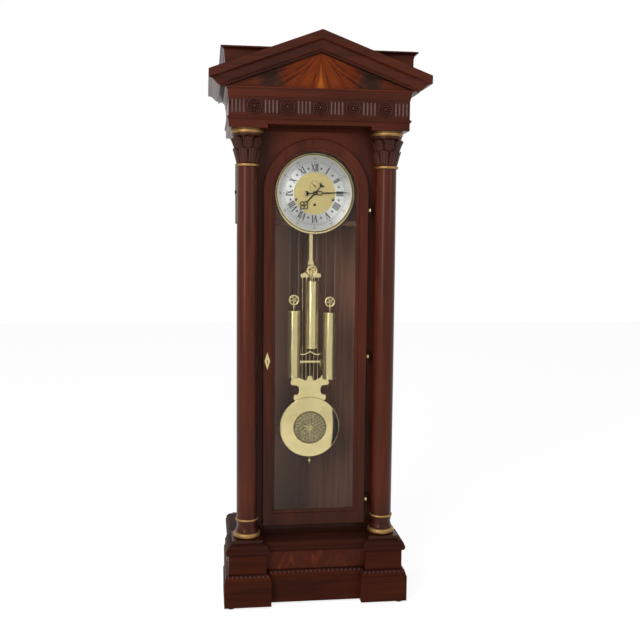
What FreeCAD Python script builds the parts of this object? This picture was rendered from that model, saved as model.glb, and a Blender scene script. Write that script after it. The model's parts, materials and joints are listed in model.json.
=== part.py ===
"""Longcase clock with an arched glazed door between two columns, under a pediment.

Sizes are in millimetres. X runs to the viewer's right, Y to the back and Z up.
The origin is on the floor, under the middle of the case.
"""

import FreeCAD
import Part
import math
import os

V = FreeCAD.Vector

# Heights of the case, stacked from the floor up
FLOOR_GAP = 10.0
PLINTH_HEIGHT = 112.0
PLINTH_MOULDING_HEIGHT = 30.0
DADO_HEIGHT = 80.0
CAP_HEIGHT = 48.0
FLOOR_WELL_DEPTH = 24.0
FLOOR_WELL_LIP = 8.0
COLUMN_HEIGHT = 1776.0
ARCHITRAVE_HEIGHT = 32.0
ARCHITRAVE_FASCIA = 16.0
SOFFIT_HEIGHT = 16.0
FRIEZE_HEIGHT = 78.0
BED_HEIGHT = 38.0
ATTIC_HEIGHT = 137.0
ATTIC_CROWN_HEIGHT = 26.0
PEDIMENT_RISE = 170.0
RAKE_DEPTH = 83.0
RAKE_FASCIA = 34.0

# Plan of the case
CASE_DEPTH = 520.0
DOOR_COLUMN_GAP = 23.5
COLUMN_SETBACK = 140.0
PIER_WIDTH = 162.0
CENTRE_RECESS = 44.0
SIDE_INSET = 9.0
PLINTH_OUT = 21.0
CAP_OUT = 13.0
BED_OUT = 15.0
ATTIC_CROWN_OUT = 17.0
CORNICE_FRONT_OUT = 62.0
CORNICE_SIDE_OUT = 66.0
TRUNK_PAST_COLUMN = 21.0

# Board thicknesses
BOARD = 20.0
SIDE_BOARD = 18.0
BACK_BOARD = 12.0
FRAME_BOARD = 24.0
GABLE_BOARD = 12.0
GABLE_LIP = 10.0
VENEER_PANEL = 8.0

# Columns, as diameters and lengths
COLUMN_FOOT_DIAMETER = 91.0
COLUMN_NECK_DIAMETER = 88.0
COLUMN_PLINTH_WIDTH = 132.0
COLUMN_PLINTH_HEIGHT = 16.0
COLUMN_DRUM_HEIGHT = 51.0
FOOT_RING_DIAMETER = 118.0
FOOT_RING_HEIGHT = 24.0
SHAFT_RING_DIAMETER = 101.0
SHAFT_RING_HEIGHT = 10.0
ASTRAGAL_DIAMETER = 104.0
ASTRAGAL_HEIGHT = 12.0
CAPITAL_HEIGHT = 124.0
CAPITAL_DIAMETER = 148.0
ABACUS_DIAMETER = 140.0
ABACUS_HEIGHT = 19.0
COLUMN_FRAME_GAP = 3.0

# Frieze ornament
ROSETTE_DIAMETER = 65.0
FRIEZE_END = 37.5
ROSETTE_DEPTH = 9.0
FLUTES_IN_GROUP = 4
FLUTE_PITCH = 15.7
FLUTE_WIDTH = 7.0
FLUTE_LENGTH = 55.0
FLUTE_DEPTH = 5.0

# Arched door
DOOR_WIDTH = 460.0
DOOR_THICKNESS = 26.0
DOOR_SILL = 48.0
DOOR_STILE = 40.0
DOOR_BOTTOM_RAIL = 56.0
DOOR_LAP = 10.0
DOOR_EDGE = 3.0
GLAZING_BEAD = 14.0
GLAZING_STEP = 4.0
KEEPER_BEAD = 8.0
GLASS_THICKNESS = 4.0
ARCH_DROP = 258.0
HINGE_OUT = 6.0
HINGE_PROUD = 1.5
HINGE_LENGTH = 38.0
HINGE_RADIUS = 4.5
HINGE_PIN_RADIUS = 2.4
HINGE_LEAF = 2.0
HINGE_FLAP = 14.0
HINGE_DROPS = (73.0, 713.0, 1358.0)
LOCK_DROP = 730.0
LOCK_HEIGHT = 62.0
LOCK_WIDTH = 24.0
LOCK_INSET = 6.0
LOCK_WALL = 3.0
BOLT_HEIGHT = 14.0
BOLT_THICKNESS = 6.0
BOLT_LENGTH = 20.0
ESCUTCHEON_WIDTH = 24.0
ESCUTCHEON_HEIGHT = 78.0
ESCUTCHEON_THICKNESS = 1.6
KEYHOLE_RADIUS = 3.2
KEYHOLE_LENGTH = 14.0

# Side access doors
SIDE_DOOR_HEIGHT = 258.0
SIDE_DOOR_WIDTH = 206.0
SIDE_DOOR_THICKNESS = 19.0
SIDE_DOOR_LAP = 15.0
SIDE_DOOR_SETBACK = 1.5
SIDE_HINGE_INSET = 5.0
SIDE_PIN_RADIUS = 2.5
SIDE_PIN_LENGTH = 12.0
SIDE_BRACKET = 4.0
KNOB_RADIUS = 8.0
KNOB_LENGTH = 8.0

# Dial and hands
DIAL_SETBACK = 90.0
BEZEL_RADIUS = 178.0
BEZEL_WIDTH = 15.0
BEZEL_DEPTH = 15.0
CHAPTER_INNER_RADIUS = 92.0
DIAL_PLATE = 2.5
CHAPTER_PLATE = 2.0
DIAL_FOOT_RADIUS = 4.0
DIAL_STANDOFF = 13.5
WINDING_HOLE_RADIUS = 6.5
CENTRE_HOLE_RADIUS = 6.5
DIAL_FOOT_INSET = 24.0
SECONDS_RISE = 32.0
HAND_THICKNESS = 1.2
HAND_SPACING = 4.0
MINUTE_HAND_LENGTH = 146.0
HOUR_HAND_LENGTH = 100.0
SECONDS_HAND_LENGTH = 20.0
MINUTE_BOSS_RADIUS = 6.5
HOUR_BOSS_RADIUS = 9.0
HAND_LOOP_RADIUS = 10.0
HAND_LOOP_BAND = 3.6
TAIL_RADIUS = 11.0
MINUTE_HAND_TURN = 88.0
HOUR_HAND_TURN = 222.0
SECONDS_HAND_TURN = -45.0

# Movement
SEAT_DROP = 120.0
SEAT_BOARD = 20.0
SEAT_DEPTH = 90.0
SEAT_OVERHANG = 6.0
BEARER = 20.0
PLATE_WIDTH = 256.0
PLATE_HEIGHT = 222.0
PLATE_THICKNESS = 3.0
PLATE_SPACING = 71.0
PILLAR_RADIUS = 6.0
PILLAR_INSET = 14.0
COCK_WIDTH = 24.0
DRUM_INSET = 46.0
SIDE_DRUM_DROP = 28.0
CENTRE_DRUM_DROP = 50.0
DRUM_FLANGE_RADIUS = 25.0
DRUM_LENGTH = 44.0
DRUM_FLANGE = 2.0
GROOVE_COUNT = 10
DRUM_ARBOR_RADIUS = 4.0
WINDING_SQUARE = 5.0
CENTRE_ARBOR_RADIUS = 2.3
TRAIN_ARBOR_RADIUS = 1.5
PALLET_ARBOR_RADIUS = 2.0
WHEEL_THICKNESS = 2.0
WHEEL_RIM = 4.5
HUB_WALL = 2.5
PINION_LENGTH = 6.0
PINION_LEAVES = 8
GREAT_WHEEL_TEETH = 96
CENTRE_WHEEL_TEETH = 60
THIRD_WHEEL_TEETH = 64
ESCAPE_TEETH = 30
THIRD_MODULE = 0.9
ESCAPE_MODULE = 0.8
ESCAPE_RADIUS = 19.0
PALLET_RISE = 27.0
PALLET_GAP = 2.0
PALLET_SPREAD = 54.0
CRUTCH_LENGTH = 92.0
STRIKE_WHEEL_TEETH = 72
STRIKE_MODULE = 1.1

# Weights, pulleys and cables
WEIGHT_SETBACK = 155.0
WEIGHT_RADIUS = 30.0
WEIGHT_LENGTH = 305.0
WEIGHT_CAP_HEIGHT = 9.0
WEIGHT_CAP_LIP = 0.8
WEIGHT_HANG = 47.0
PULLEY_DROPS = (354.0, 221.0, 362.0)
PULLEY_RADIUS = 23.5
PULLEY_WIDTH = 8.0
PULLEY_PIN_RADIUS = 2.5
PULLEY_SPOKES = 5
PULLEY_RIM = 2.0
CABLE_RUN = 20.0
CABLE_RADIUS = 0.8
CABLE_HOLE_RADIUS = 4.0
FERRULE_HEIGHT = 6.0
STIRRUP_STRAP = 2.0
STIRRUP_WIDTH = 6.4

# Pendulum
PENDULUM_BEHIND_WEIGHT = 57.0
PENDULUM_LENGTH = 1126.0
PENDULUM_PLATE = 4.0
ROD_WIDTH = 15.0
CROWN_DROP = 356.0
CROWN_HEIGHT = 77.0
CROWN_WIDTH = 92.0
LYRE_WAIST_RISE = 172.0
LYRE_ARM_RISE = 222.0
LYRE_BAR_RISE = 305.0
SWAG_RISE = 353.0
LYRE_TIP_RISE = 377.0
LYRE_SPREAD = 60.0
LYRE_BAR_WIDTH = 9.0
LYRE_DISC_RADIUS = 10.0
LYRE_WAVE = 12.0
SWAG_SAG = 15.0
STRING_RADIUS = 2.0
STRING_COUNT = 5
STRING_PITCH = 18.0
BOB_RADIUS = 140.0
BOB_DOME = 8.0
BOB_SHELL = 3.0
BOB_RIM = 4.0
BOB_BOSS_RADIUS = 12.0
MEDALLION_RADIUS = 77.0
MEDALLION_THICKNESS = 1.5
SUSPENSION_PIN_RADIUS = 3.0

# Chime
CHIME_RODS = 8
CHIME_PITCH = 20.0
CHIME_ROD_RADIUS = 2.5
CHIME_LONGEST = 540.0
CHIME_STEP = 30.0
CHIME_ROD_INSET = 14.0
CHIME_BLOCK_RISE = 40.0
CHIME_BLOCK_HEIGHT = 40.0
CHIME_BLOCK_DEPTH = 42.0

# Levelling feet
FOOT_RADIUS = 18.0
FOOT_PAD = 6.0
FOOT_STEM_RADIUS = 5.0
FOOT_NUT_RADIUS = 9.0
FOOT_STEM_LENGTH = 34.0
FOOT_INSET = 30.0
FOOT_BLOCK = 60.0

# Clearances
RUN_GAP = 0.06
SEAT_GAP = 0.3
SWING_GAP = 1.0
DOOR_GAP = 0.5
SIDE_DOOR_GAP = 1.6

# Levels worked out from the heights
Z_PLINTH = FLOOR_GAP
Z_PLINTH_MOULDING = Z_PLINTH + PLINTH_HEIGHT
Z_DADO = Z_PLINTH_MOULDING + PLINTH_MOULDING_HEIGHT
Z_CAP = Z_DADO + DADO_HEIGHT
Z_BASE = Z_CAP + CAP_HEIGHT
Z_ARCHITRAVE = Z_BASE + COLUMN_HEIGHT
Z_SOFFIT = Z_ARCHITRAVE + ARCHITRAVE_HEIGHT
Z_FRIEZE = Z_SOFFIT + SOFFIT_HEIGHT
Z_BED = Z_FRIEZE + FRIEZE_HEIGHT
Z_ATTIC = Z_BED + BED_HEIGHT
Z_CROWN = Z_ATTIC + ATTIC_HEIGHT
Z_TOP = Z_CROWN + ATTIC_CROWN_HEIGHT

# Planes worked out from the plan, front to back
Y_FRONT = -CASE_DEPTH / 2
Y_BACK = CASE_DEPTH / 2
Y_INNER_BACK = Y_BACK - BACK_BOARD
Y_COLUMN = Y_FRONT + COLUMN_SETBACK
COLUMN_RADIUS = COLUMN_FOOT_DIAMETER / 2
X_DOOR = DOOR_WIDTH / 2
X_COLUMN = X_DOOR + DOOR_COLUMN_GAP + COLUMN_RADIUS
Y_PIER = Y_COLUMN - PIER_WIDTH / 2
Y_PIER_BACK = Y_COLUMN + PIER_WIDTH / 2
X_PIER = X_COLUMN + PIER_WIDTH / 2
X_PIER_INNER = X_COLUMN - PIER_WIDTH / 2
Y_FRAME = Y_COLUMN + COLUMN_RADIUS + COLUMN_FRAME_GAP
Y_FRAME_BACK = Y_FRAME + FRAME_BOARD
X_TRUNK = X_COLUMN + TRUNK_PAST_COLUMN
X_TRUNK_INNER = X_TRUNK - SIDE_BOARD
X_ATTIC = X_PIER + BED_OUT
X_EAVES = X_ATTIC + CORNICE_SIDE_OUT
Y_GABLE = Y_FRONT + CORNICE_FRONT_OUT
Y_ATTIC = Y_GABLE + GABLE_BOARD
RAKE_SLOPE = PEDIMENT_RISE / X_EAVES
Z_EAVES = Z_ATTIC + RAKE_DEPTH - CORNICE_SIDE_OUT * RAKE_SLOPE

# Door, dial and movement places
Z_ARCH = Z_ARCHITRAVE - ARCH_DROP
Z_DOOR = Z_BASE + DOOR_SILL
X_GLAZED = X_DOOR - DOOR_STILE
Y_DOOR_BACK = Y_FRAME - DOOR_GAP
Y_DOOR = Y_DOOR_BACK - DOOR_THICKNESS
Y_GLASS = Y_DOOR + DOOR_THICKNESS / 2
X_HINGE = X_DOOR + HINGE_OUT
Y_HINGE = Y_DOOR - HINGE_PROUD
HINGE_LEVELS = [Z_ARCH - drop for drop in HINGE_DROPS]
Z_LOCK = Z_ARCH - LOCK_DROP
X_LOCK = -(X_DOOR - DOOR_STILE / 2)
Y_BOLT = Y_FRAME_BACK + SWING_GAP
Y_DIAL = Y_COLUMN + DIAL_SETBACK
Y_DIAL_PLATE = Y_DIAL + CHAPTER_PLATE
DIAL_RADIUS = BEZEL_RADIUS - BEZEL_WIDTH * 2 / 3
Y_WEIGHT = Y_COLUMN + WEIGHT_SETBACK
Z_SEAT = Z_ARCH - SEAT_DROP
Y_FRONT_PLATE = Y_DIAL_PLATE + DIAL_PLATE + DIAL_STANDOFF + PLATE_THICKNESS
Y_BACK_PLATE = Y_FRONT_PLATE + PLATE_SPACING
Y_SEAT = Y_FRONT_PLATE - PLATE_THICKNESS - SEAT_OVERHANG
DRUM_RADIUS = CABLE_RUN - CABLE_RADIUS - SEAT_GAP
GREAT_MODULE = 2 * CENTRE_DRUM_DROP / (GREAT_WHEEL_TEETH + PINION_LEAVES)
Z_SECONDS = Z_ARCH + SECONDS_RISE
Z_PIVOT = Z_SECONDS + PALLET_RISE
Y_PENDULUM = Y_WEIGHT + PENDULUM_BEHIND_WEIGHT
Z_BOB = Z_PIVOT - PENDULUM_LENGTH
DRUM_SPREAD = PLATE_WIDTH / 2 - DRUM_INSET
DRUM_CENTRES = (
    (-DRUM_SPREAD, Z_ARCH - SIDE_DRUM_DROP),
    (0.0, Z_ARCH - CENTRE_DRUM_DROP),
    (DRUM_SPREAD, Z_ARCH - SIDE_DRUM_DROP),
)
SIDES = ("left", "centre", "right")

# Bulge of a quarter circle
QUARTER = math.tan(math.pi / 8)

# Tooth form: heights above and below the pitch circle in modules, half widths in pitches
WHEEL_TOOTH = (0.9, 1.2, 0.28, 0.09)
PINION_TOOTH = (0.6, 1.3, 0.19, 0.10)


# Plain helpers


def box(x0, x1, y0, y1, z0, z1):
    """Board between two opposite corners."""
    return Part.makeBox(x1 - x0, y1 - y0, z1 - z0, V(x0, y0, z0))


def mirrored(shape):
    """The same piece on the other side of the clock's middle plane."""
    return shape.mirror(V(0, 0, 0), V(1, 0, 0))


def wire_of(points, place):
    """Closed wire through (a, b) or (a, b, bulge); a bulge bows the edge from there to its left."""
    edges = []
    for start, end in zip(points, points[1:] + points[:1]):
        bulge = start[2] if len(start) > 2 else 0.0
        middle_a = (start[0] + end[0] - bulge * (end[1] - start[1])) / 2
        middle_b = (start[1] + end[1] + bulge * (end[0] - start[0])) / 2
        first, last = place(start[0], start[1]), place(end[0], end[1])
        if bulge:
            edges.append(Part.Arc(first, place(middle_a, middle_b), last).toShape())
        else:
            edges.append(Part.makeLine(first, last))
    return Part.Wire(edges)


def plate(points, y0, y1):
    """Plate with an outline in X and Z, from y0 back to y1."""
    face = Part.Face(wire_of(points, lambda x, z: V(x, y0, z)))
    return face.extrude(V(0, y1 - y0, 0))


def turned(points, x, y):
    """Solid turned round the upright line at x, y; the points are radius and height."""
    face = Part.Face(wire_of(points, lambda r, z: V(x + r, y, z)))
    return face.revolve(V(x, y, 0), V(0, 0, 1), 360)


def spun(points, x, z):
    """Solid turned round the front-to-back line at x, z; the points are radius and y."""
    face = Part.Face(wire_of(points, lambda r, y: V(x + r, y, z)))
    return face.revolve(V(x, 0, z), V(0, 1, 0), 360)


def pin_y(x, z, radius, y0, y1):
    """Round pin along Y."""
    return Part.makeCylinder(radius, y1 - y0, V(x, y0, z), V(0, 1, 0))


def pin_z(x, y, radius, z0, z1):
    """Round pin along Z."""
    return Part.makeCylinder(radius, z1 - z0, V(x, y, z0), V(0, 0, 1))


def joined(first, *others):
    """One solid from pieces that meet."""
    return first.fuse(list(others)).removeSplitter()


def cut(shape, *tools):
    """The shape without the tools."""
    return shape.cut(list(tools))


def save(name, *solids):
    """Write one node, as one solid or as a group of solids."""
    shape = solids[0] if len(solids) == 1 else Part.makeCompound(list(solids))
    shape.exportStep(os.path.join("parts", name + ".step"))


def polar(x, z, radius, turn):
    """Point at a clockwise turn in degrees from straight up, seen from the front."""
    return x + radius * math.sin(math.radians(turn)), z + radius * math.cos(math.radians(turn))


def quarter(out0, z0, out1, z1, hollow, steps=6):
    """Quarter round from one point of a moulding to another, hollow like a cove or full like an ovolo."""
    points = []
    for step in range(steps + 1):
        angle = math.pi / 2 * step / steps
        rise, run = math.sin(angle), 1 - math.cos(angle)
        across, up = (run, rise) if hollow else (rise, run)
        points.append((out0 + (out1 - out0) * across, z0 + (z1 - z0) * up))
    return points


def moulded(outline, profile):
    """Slab whose edge follows a profile of (out, z) all round a plan outline."""
    wires = []
    for out, z in profile:
        corners = [V(x, y, z) for x, y in outline(out)]
        wires.append(Part.makePolygon(corners + corners[:1]))
    return Part.makeLoft(wires, True, True)


def base_outline(out):
    """Plan of the base: a block under each column, a recessed middle and sides set in a little."""
    side = X_PIER - SIDE_INSET + out
    outer, inner = X_PIER + out, X_PIER_INNER - out
    front, middle, back = Y_PIER - out, Y_PIER + CENTRE_RECESS - out, Y_PIER_BACK + out
    right = [(inner, middle), (inner, front), (outer, front), (outer, back)]
    right += [(side, back), (side, Y_INNER_BACK)]
    return [(-x, y) for x, y in reversed(right)] + right


def head_outline(out):
    """Plan of the entablature, a plain rectangle."""
    outer = X_PIER + out
    front = Y_PIER - out
    return [(-outer, Y_BACK), (-outer, front), (outer, front), (outer, Y_BACK)]


def attic_outline(out):
    """Plan of the attic behind the pediment."""
    outer = X_ATTIC + out
    front = Y_ATTIC - out
    return [(-outer, Y_BACK), (-outer, front), (outer, front), (outer, Y_BACK)]


def arch(half, bottom):
    """Outline with upright sides and a round head on the arch centre."""
    return [(-half, bottom), (half, bottom), (half, Z_ARCH, -1.0), (-half, Z_ARCH)]


def arch_loft(half0, bottom0, y0, half1, bottom1, y1):
    """Arched solid whose outline changes from front to back, for a sloped edge."""
    front = wire_of(arch(half0, bottom0), lambda x, z: V(x, y0, z))
    back = wire_of(arch(half1, bottom1), lambda x, z: V(x, y1, z))
    return Part.makeLoft([front, back], True, True)


def side_foot_places():
    """Plan places of the levelling feet: front corners of the plinth, rear corners of the case."""
    x_front, y_front = X_PIER + PLINTH_OUT - FOOT_INSET, Y_PIER - PLINTH_OUT + FOOT_INSET
    x_rear = X_PIER - SIDE_INSET + PLINTH_OUT - BOARD - FOOT_BLOCK / 2
    y_rear = Y_INNER_BACK - FOOT_BLOCK / 2
    return [(-x_front, y_front), (x_front, y_front), (-x_rear, y_rear), (x_rear, y_rear)]


# Base of the case


def levelling_feet():
    """Four screw feet: a round pad, a lock nut under the plinth and a stem that goes up into it."""
    feet = []
    for x, y in side_foot_places():
        edge = FOOT_RADIUS - 2
        pad = turned([(0, 0), (edge, 0), (FOOT_RADIUS, 2), (FOOT_RADIUS, FOOT_PAD), (0, FOOT_PAD)], x, y)
        stem = pin_z(x, y, FOOT_STEM_RADIUS, FOOT_PAD, FOOT_PAD + FOOT_STEM_LENGTH)
        feet.append(joined(pad, stem, pin_z(x, y, FOOT_NUT_RADIUS, FOOT_PAD, FLOOR_GAP)))
    return feet


def plinth_boards():
    """Two corner blocks, the recessed middle board, two side boards and the rear foot blocks."""
    top = Z_PLINTH_MOULDING
    side = X_PIER - SIDE_INSET + PLINTH_OUT
    inner = X_PIER_INNER - PLINTH_OUT
    middle = Y_PIER + CENTRE_RECESS - PLINTH_OUT
    block = box(inner, X_PIER + PLINTH_OUT, Y_PIER - PLINTH_OUT, Y_PIER_BACK + PLINTH_OUT, Z_PLINTH, top)
    board = box(side - BOARD, side, Y_PIER_BACK + PLINTH_OUT, Y_INNER_BACK, Z_PLINTH, top)
    foot_side = side - BOARD
    foot_front = Y_INNER_BACK - FOOT_BLOCK
    foot = box(foot_side - FOOT_BLOCK, foot_side, foot_front, Y_INNER_BACK, Z_PLINTH, top)
    holes = []
    for x, y in side_foot_places():
        stem_top = FOOT_PAD + FOOT_STEM_LENGTH + SEAT_GAP
        holes.append(pin_z(x, y, FOOT_STEM_RADIUS + RUN_GAP, 0, stem_top))
    pieces = [box(-inner, inner, middle, middle + BOARD, Z_PLINTH, top)]
    for piece in (block, board, foot):
        pieces.append(cut(piece, *holes))
        pieces.append(cut(mirrored(piece), *holes))
    return pieces


def plinth_moulding():
    """Sloping moulding between the plinth and the dado, the ground of the carving."""
    lip = 4.0
    profile = [(PLINTH_OUT - 2, Z_PLINTH_MOULDING), (PLINTH_OUT - 2, Z_PLINTH_MOULDING + lip)]
    profile += quarter(PLINTH_OUT - 4, Z_PLINTH_MOULDING + lip + 1, 3, Z_DADO - lip, True)
    profile += [(1, Z_DADO - lip + 1), (1, Z_DADO)]
    return moulded(base_outline, profile)


def pedestal_boards():
    """Dado: a block under each column, side boards and the board behind the middle panel."""
    side = X_PIER - SIDE_INSET
    middle = Y_PIER + CENTRE_RECESS + VENEER_PANEL
    block = box(X_PIER_INNER, X_PIER, Y_PIER, Y_PIER_BACK, Z_DADO, Z_CAP)
    board = box(side - BOARD, side, Y_PIER_BACK, Y_INNER_BACK, Z_DADO, Z_CAP)
    backing = box(-X_PIER_INNER, X_PIER_INNER, middle, middle + BOARD, Z_DADO, Z_CAP)
    return [block, mirrored(block), board, mirrored(board), backing]


def pedestal_panel():
    """Flame-veneered panel between the pedestal blocks."""
    front = Y_PIER + CENTRE_RECESS
    return box(-X_PIER_INNER, X_PIER_INNER, front, front + VENEER_PANEL, Z_DADO, Z_CAP)


def pedestal_cap():
    """Cap slab of the base with its moulded edge; the trunk and columns stand on it.

    The floor inside the trunk is sunk as a well, so the weights can run down their whole fall.
    """
    fillet = 5.0
    edge = Z_CAP + CAP_HEIGHT * 0.4
    profile = [(1, Z_CAP), (1, Z_CAP + 2)]
    profile += quarter(3, Z_CAP + 3, CAP_OUT, edge, False)
    profile += [(CAP_OUT, edge + fillet), (CAP_OUT - 3, edge + fillet + 1)]
    profile += quarter(CAP_OUT - 3, edge + fillet + 2, -6, Z_BASE - 2, True)
    profile += [(-6, Z_BASE)]
    half = X_TRUNK_INNER - FLOOR_WELL_LIP
    front = Y_FRAME_BACK + FLOOR_WELL_LIP
    back = Y_INNER_BACK - FLOOR_WELL_LIP
    well = box(-half, half, front, back, Z_BASE - FLOOR_WELL_DEPTH, Z_BASE + 1)
    return cut(moulded(base_outline, profile), well)


# Columns


Z_DRUM = Z_BASE + COLUMN_PLINTH_HEIGHT
Z_DRUM_BODY = Z_DRUM + FOOT_RING_HEIGHT
Z_SHAFT_RING = Z_DRUM_BODY + COLUMN_DRUM_HEIGHT
Z_SHAFT = Z_SHAFT_RING + SHAFT_RING_HEIGHT
Z_ABACUS = Z_ARCHITRAVE - ABACUS_HEIGHT
Z_CAPITAL = Z_ABACUS - CAPITAL_HEIGHT
Z_ASTRAGAL = Z_CAPITAL - ASTRAGAL_HEIGHT
NECK_RADIUS = COLUMN_NECK_DIAMETER / 2


def against_trunk(shape):
    """The piece with a flat seat cut where it meets the face frame."""
    return cut(shape, box(-X_TRUNK, X_TRUNK, Y_FRAME, Y_BACK, Z_BASE, Z_ARCHITRAVE))


def column(x):
    """Square plinth and the turned base and shaft of one column."""
    half = COLUMN_PLINTH_WIDTH / 2
    plinth = box(x - half, x + half, Y_COLUMN - half, Y_COLUMN + half, Z_BASE, Z_DRUM)
    foot = COLUMN_RADIUS
    shaft = turned(
        [
            (0, Z_DRUM),
            (foot, Z_DRUM),
            (foot, Z_DRUM_BODY),
            (foot + 4, Z_DRUM_BODY),
            (foot + 4, Z_DRUM_BODY + 6, 0.2),
            (foot + 0.5, Z_SHAFT_RING - 8),
            (foot + 2, Z_SHAFT_RING),
            (foot, Z_SHAFT_RING),
            (foot, Z_SHAFT, -0.001),
            (NECK_RADIUS, Z_ASTRAGAL),
            (NECK_RADIUS, Z_CAPITAL),
            (0, Z_CAPITAL),
        ],
        x,
        Y_COLUMN,
    )
    return [against_trunk(plinth), against_trunk(shaft)]


def ring(x, inner, outer, z0, z1):
    """Round-edged ring about a column."""
    edge = 0.8 * min((z1 - z0) / 2, outer - inner)
    outline = [(inner, z0), (outer - edge, z0, -QUARTER), (outer, z0 + edge)]
    outline += [(outer, z1 - edge, -QUARTER), (outer - edge, z1), (inner, z1)]
    return against_trunk(turned(outline, x, Y_COLUMN))


def gilt_rings():
    """Gilded rings of both columns: foot torus, shaft ring, astragal and abacus."""
    rings = []
    for x in (-X_COLUMN, X_COLUMN):
        rings.append(ring(x, COLUMN_RADIUS, FOOT_RING_DIAMETER / 2, Z_DRUM, Z_DRUM_BODY))
        rings.append(ring(x, COLUMN_RADIUS, SHAFT_RING_DIAMETER / 2, Z_SHAFT_RING, Z_SHAFT))
        rings.append(ring(x, NECK_RADIUS, ASTRAGAL_DIAMETER / 2, Z_ASTRAGAL, Z_CAPITAL))
        edge = ABACUS_DIAMETER / 2
        abacus = [(0, Z_ABACUS), (edge - 4, Z_ABACUS), (edge, Z_ABACUS + 5), (edge, Z_ARCHITRAVE - 6)]
        abacus += [(edge - 4, Z_ARCHITRAVE - 3), (edge - 4, Z_ARCHITRAVE), (0, Z_ARCHITRAVE)]
        rings.append(against_trunk(turned(abacus, x, Y_COLUMN)))
    return rings


def capital(x):
    """Leaf capital: two tiers that flare out to their leaf tips."""
    tier = Z_CAPITAL + CAPITAL_HEIGHT * 0.47
    crest = Z_CAPITAL + CAPITAL_HEIGHT * 0.83
    tip = CAPITAL_DIAMETER / 2
    low_tip = tip - 11
    outline = [
        (0, Z_CAPITAL),
        (NECK_RADIUS + 3, Z_CAPITAL, 0.18),
        (low_tip, tier),
        (low_tip - 2, tier + 6),
        (low_tip - 9, tier + 6, 0.16),
        (tip, crest),
        (tip - 2, crest + 8),
        (tip - 10, crest + 8),
        (tip - 8, Z_ABACUS),
        (0, Z_ABACUS),
    ]
    return against_trunk(turned(outline, x, Y_COLUMN))


# Trunk


SIDE_DOOR_FRONT = Y_FRAME_BACK + SIDE_DOOR_SETBACK
SIDE_DOOR_BACK = SIDE_DOOR_FRONT + SIDE_DOOR_WIDTH
Z_SIDE_DOOR = Z_ARCH - SIDE_DOOR_HEIGHT / 2
X_SIDE_DOOR = X_TRUNK + SIDE_DOOR_GAP
X_SIDE_HINGE = X_SIDE_DOOR + SIDE_DOOR_THICKNESS - SIDE_HINGE_INSET
Y_SIDE_HINGE = SIDE_DOOR_BACK - SIDE_HINGE_INSET


def side_panel():
    """Right side of the trunk with the opening for its access door, and the two pivot brackets."""
    panel = box(X_TRUNK_INNER, X_TRUNK, Y_FRAME_BACK, Y_INNER_BACK, Z_BASE, Z_ARCHITRAVE)
    opening = box(
        X_TRUNK_INNER - 1,
        X_TRUNK + 1,
        SIDE_DOOR_FRONT + SIDE_DOOR_LAP,
        SIDE_DOOR_BACK - SIDE_DOOR_LAP,
        Z_SIDE_DOOR + SIDE_DOOR_LAP,
        Z_SIDE_DOOR + SIDE_DOOR_HEIGHT - SIDE_DOOR_LAP,
    )
    pieces = [cut(panel, opening)]
    top = Z_SIDE_DOOR + SIDE_DOOR_HEIGHT
    foot = Z_SIDE_DOOR - SWING_GAP - SIDE_BRACKET
    for bracket_z, pin_low in ((foot, Z_SIDE_DOOR), (top + SWING_GAP, top - SIDE_PIN_LENGTH)):
        reach = X_SIDE_HINGE + SIDE_HINGE_INSET
        front, back = Y_SIDE_HINGE - SIDE_HINGE_INSET, SIDE_DOOR_BACK
        bracket = box(X_TRUNK, reach, front, back, bracket_z, bracket_z + SIDE_BRACKET)
        low = min(pin_low, bracket_z)
        high = max(pin_low + SIDE_PIN_LENGTH, bracket_z)
        pieces.append(joined(bracket, pin_z(X_SIDE_HINGE, Y_SIDE_HINGE, SIDE_PIN_RADIUS, low, high)))
    return pieces


def side_door():
    """Right access door on two pivots near its rear edge, with a small turned knob."""
    outer = X_SIDE_DOOR + SIDE_DOOR_THICKNESS
    top = Z_SIDE_DOOR + SIDE_DOOR_HEIGHT
    door = box(X_SIDE_DOOR, outer, SIDE_DOOR_FRONT, SIDE_DOOR_BACK, Z_SIDE_DOOR, top)
    holes = []
    for z0, z1 in ((Z_SIDE_DOOR, Z_SIDE_DOOR + SIDE_PIN_LENGTH + 1), (top - SIDE_PIN_LENGTH - 1, top)):
        holes.append(pin_z(X_SIDE_HINGE, Y_SIDE_HINGE, SIDE_PIN_RADIUS + RUN_GAP, z0, z1))
    y_knob = SIDE_DOOR_FRONT + 2 * KNOB_RADIUS
    seat = V(outer, y_knob, Z_ARCH)
    knob = Part.makeCone(KNOB_RADIUS * 0.5, KNOB_RADIUS, KNOB_LENGTH, seat, V(1, 0, 0))
    return [cut(door, *holes), knob]


def front_frame():
    """Face frame with the arched opening that the door closes on; its head holds the spandrels."""
    board = box(-X_TRUNK, X_TRUNK, Y_FRAME, Y_FRAME_BACK, Z_BASE, Z_ARCHITRAVE)
    return cut(board, plate(arch(X_DOOR - DOOR_LAP, Z_DOOR + DOOR_LAP), Y_FRAME - 1, Y_FRAME_BACK + 1))


def back_panel():
    """Back boards of the trunk and of the base."""
    low = X_PIER - SIDE_INSET - BOARD
    trunk = box(-X_TRUNK, X_TRUNK, Y_INNER_BACK, Y_BACK, Z_BASE, Z_ARCHITRAVE)
    return [trunk, box(-low, low, Y_INNER_BACK, Y_BACK, Z_PLINTH, Z_BASE)]


# Entablature and pediment


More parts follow.
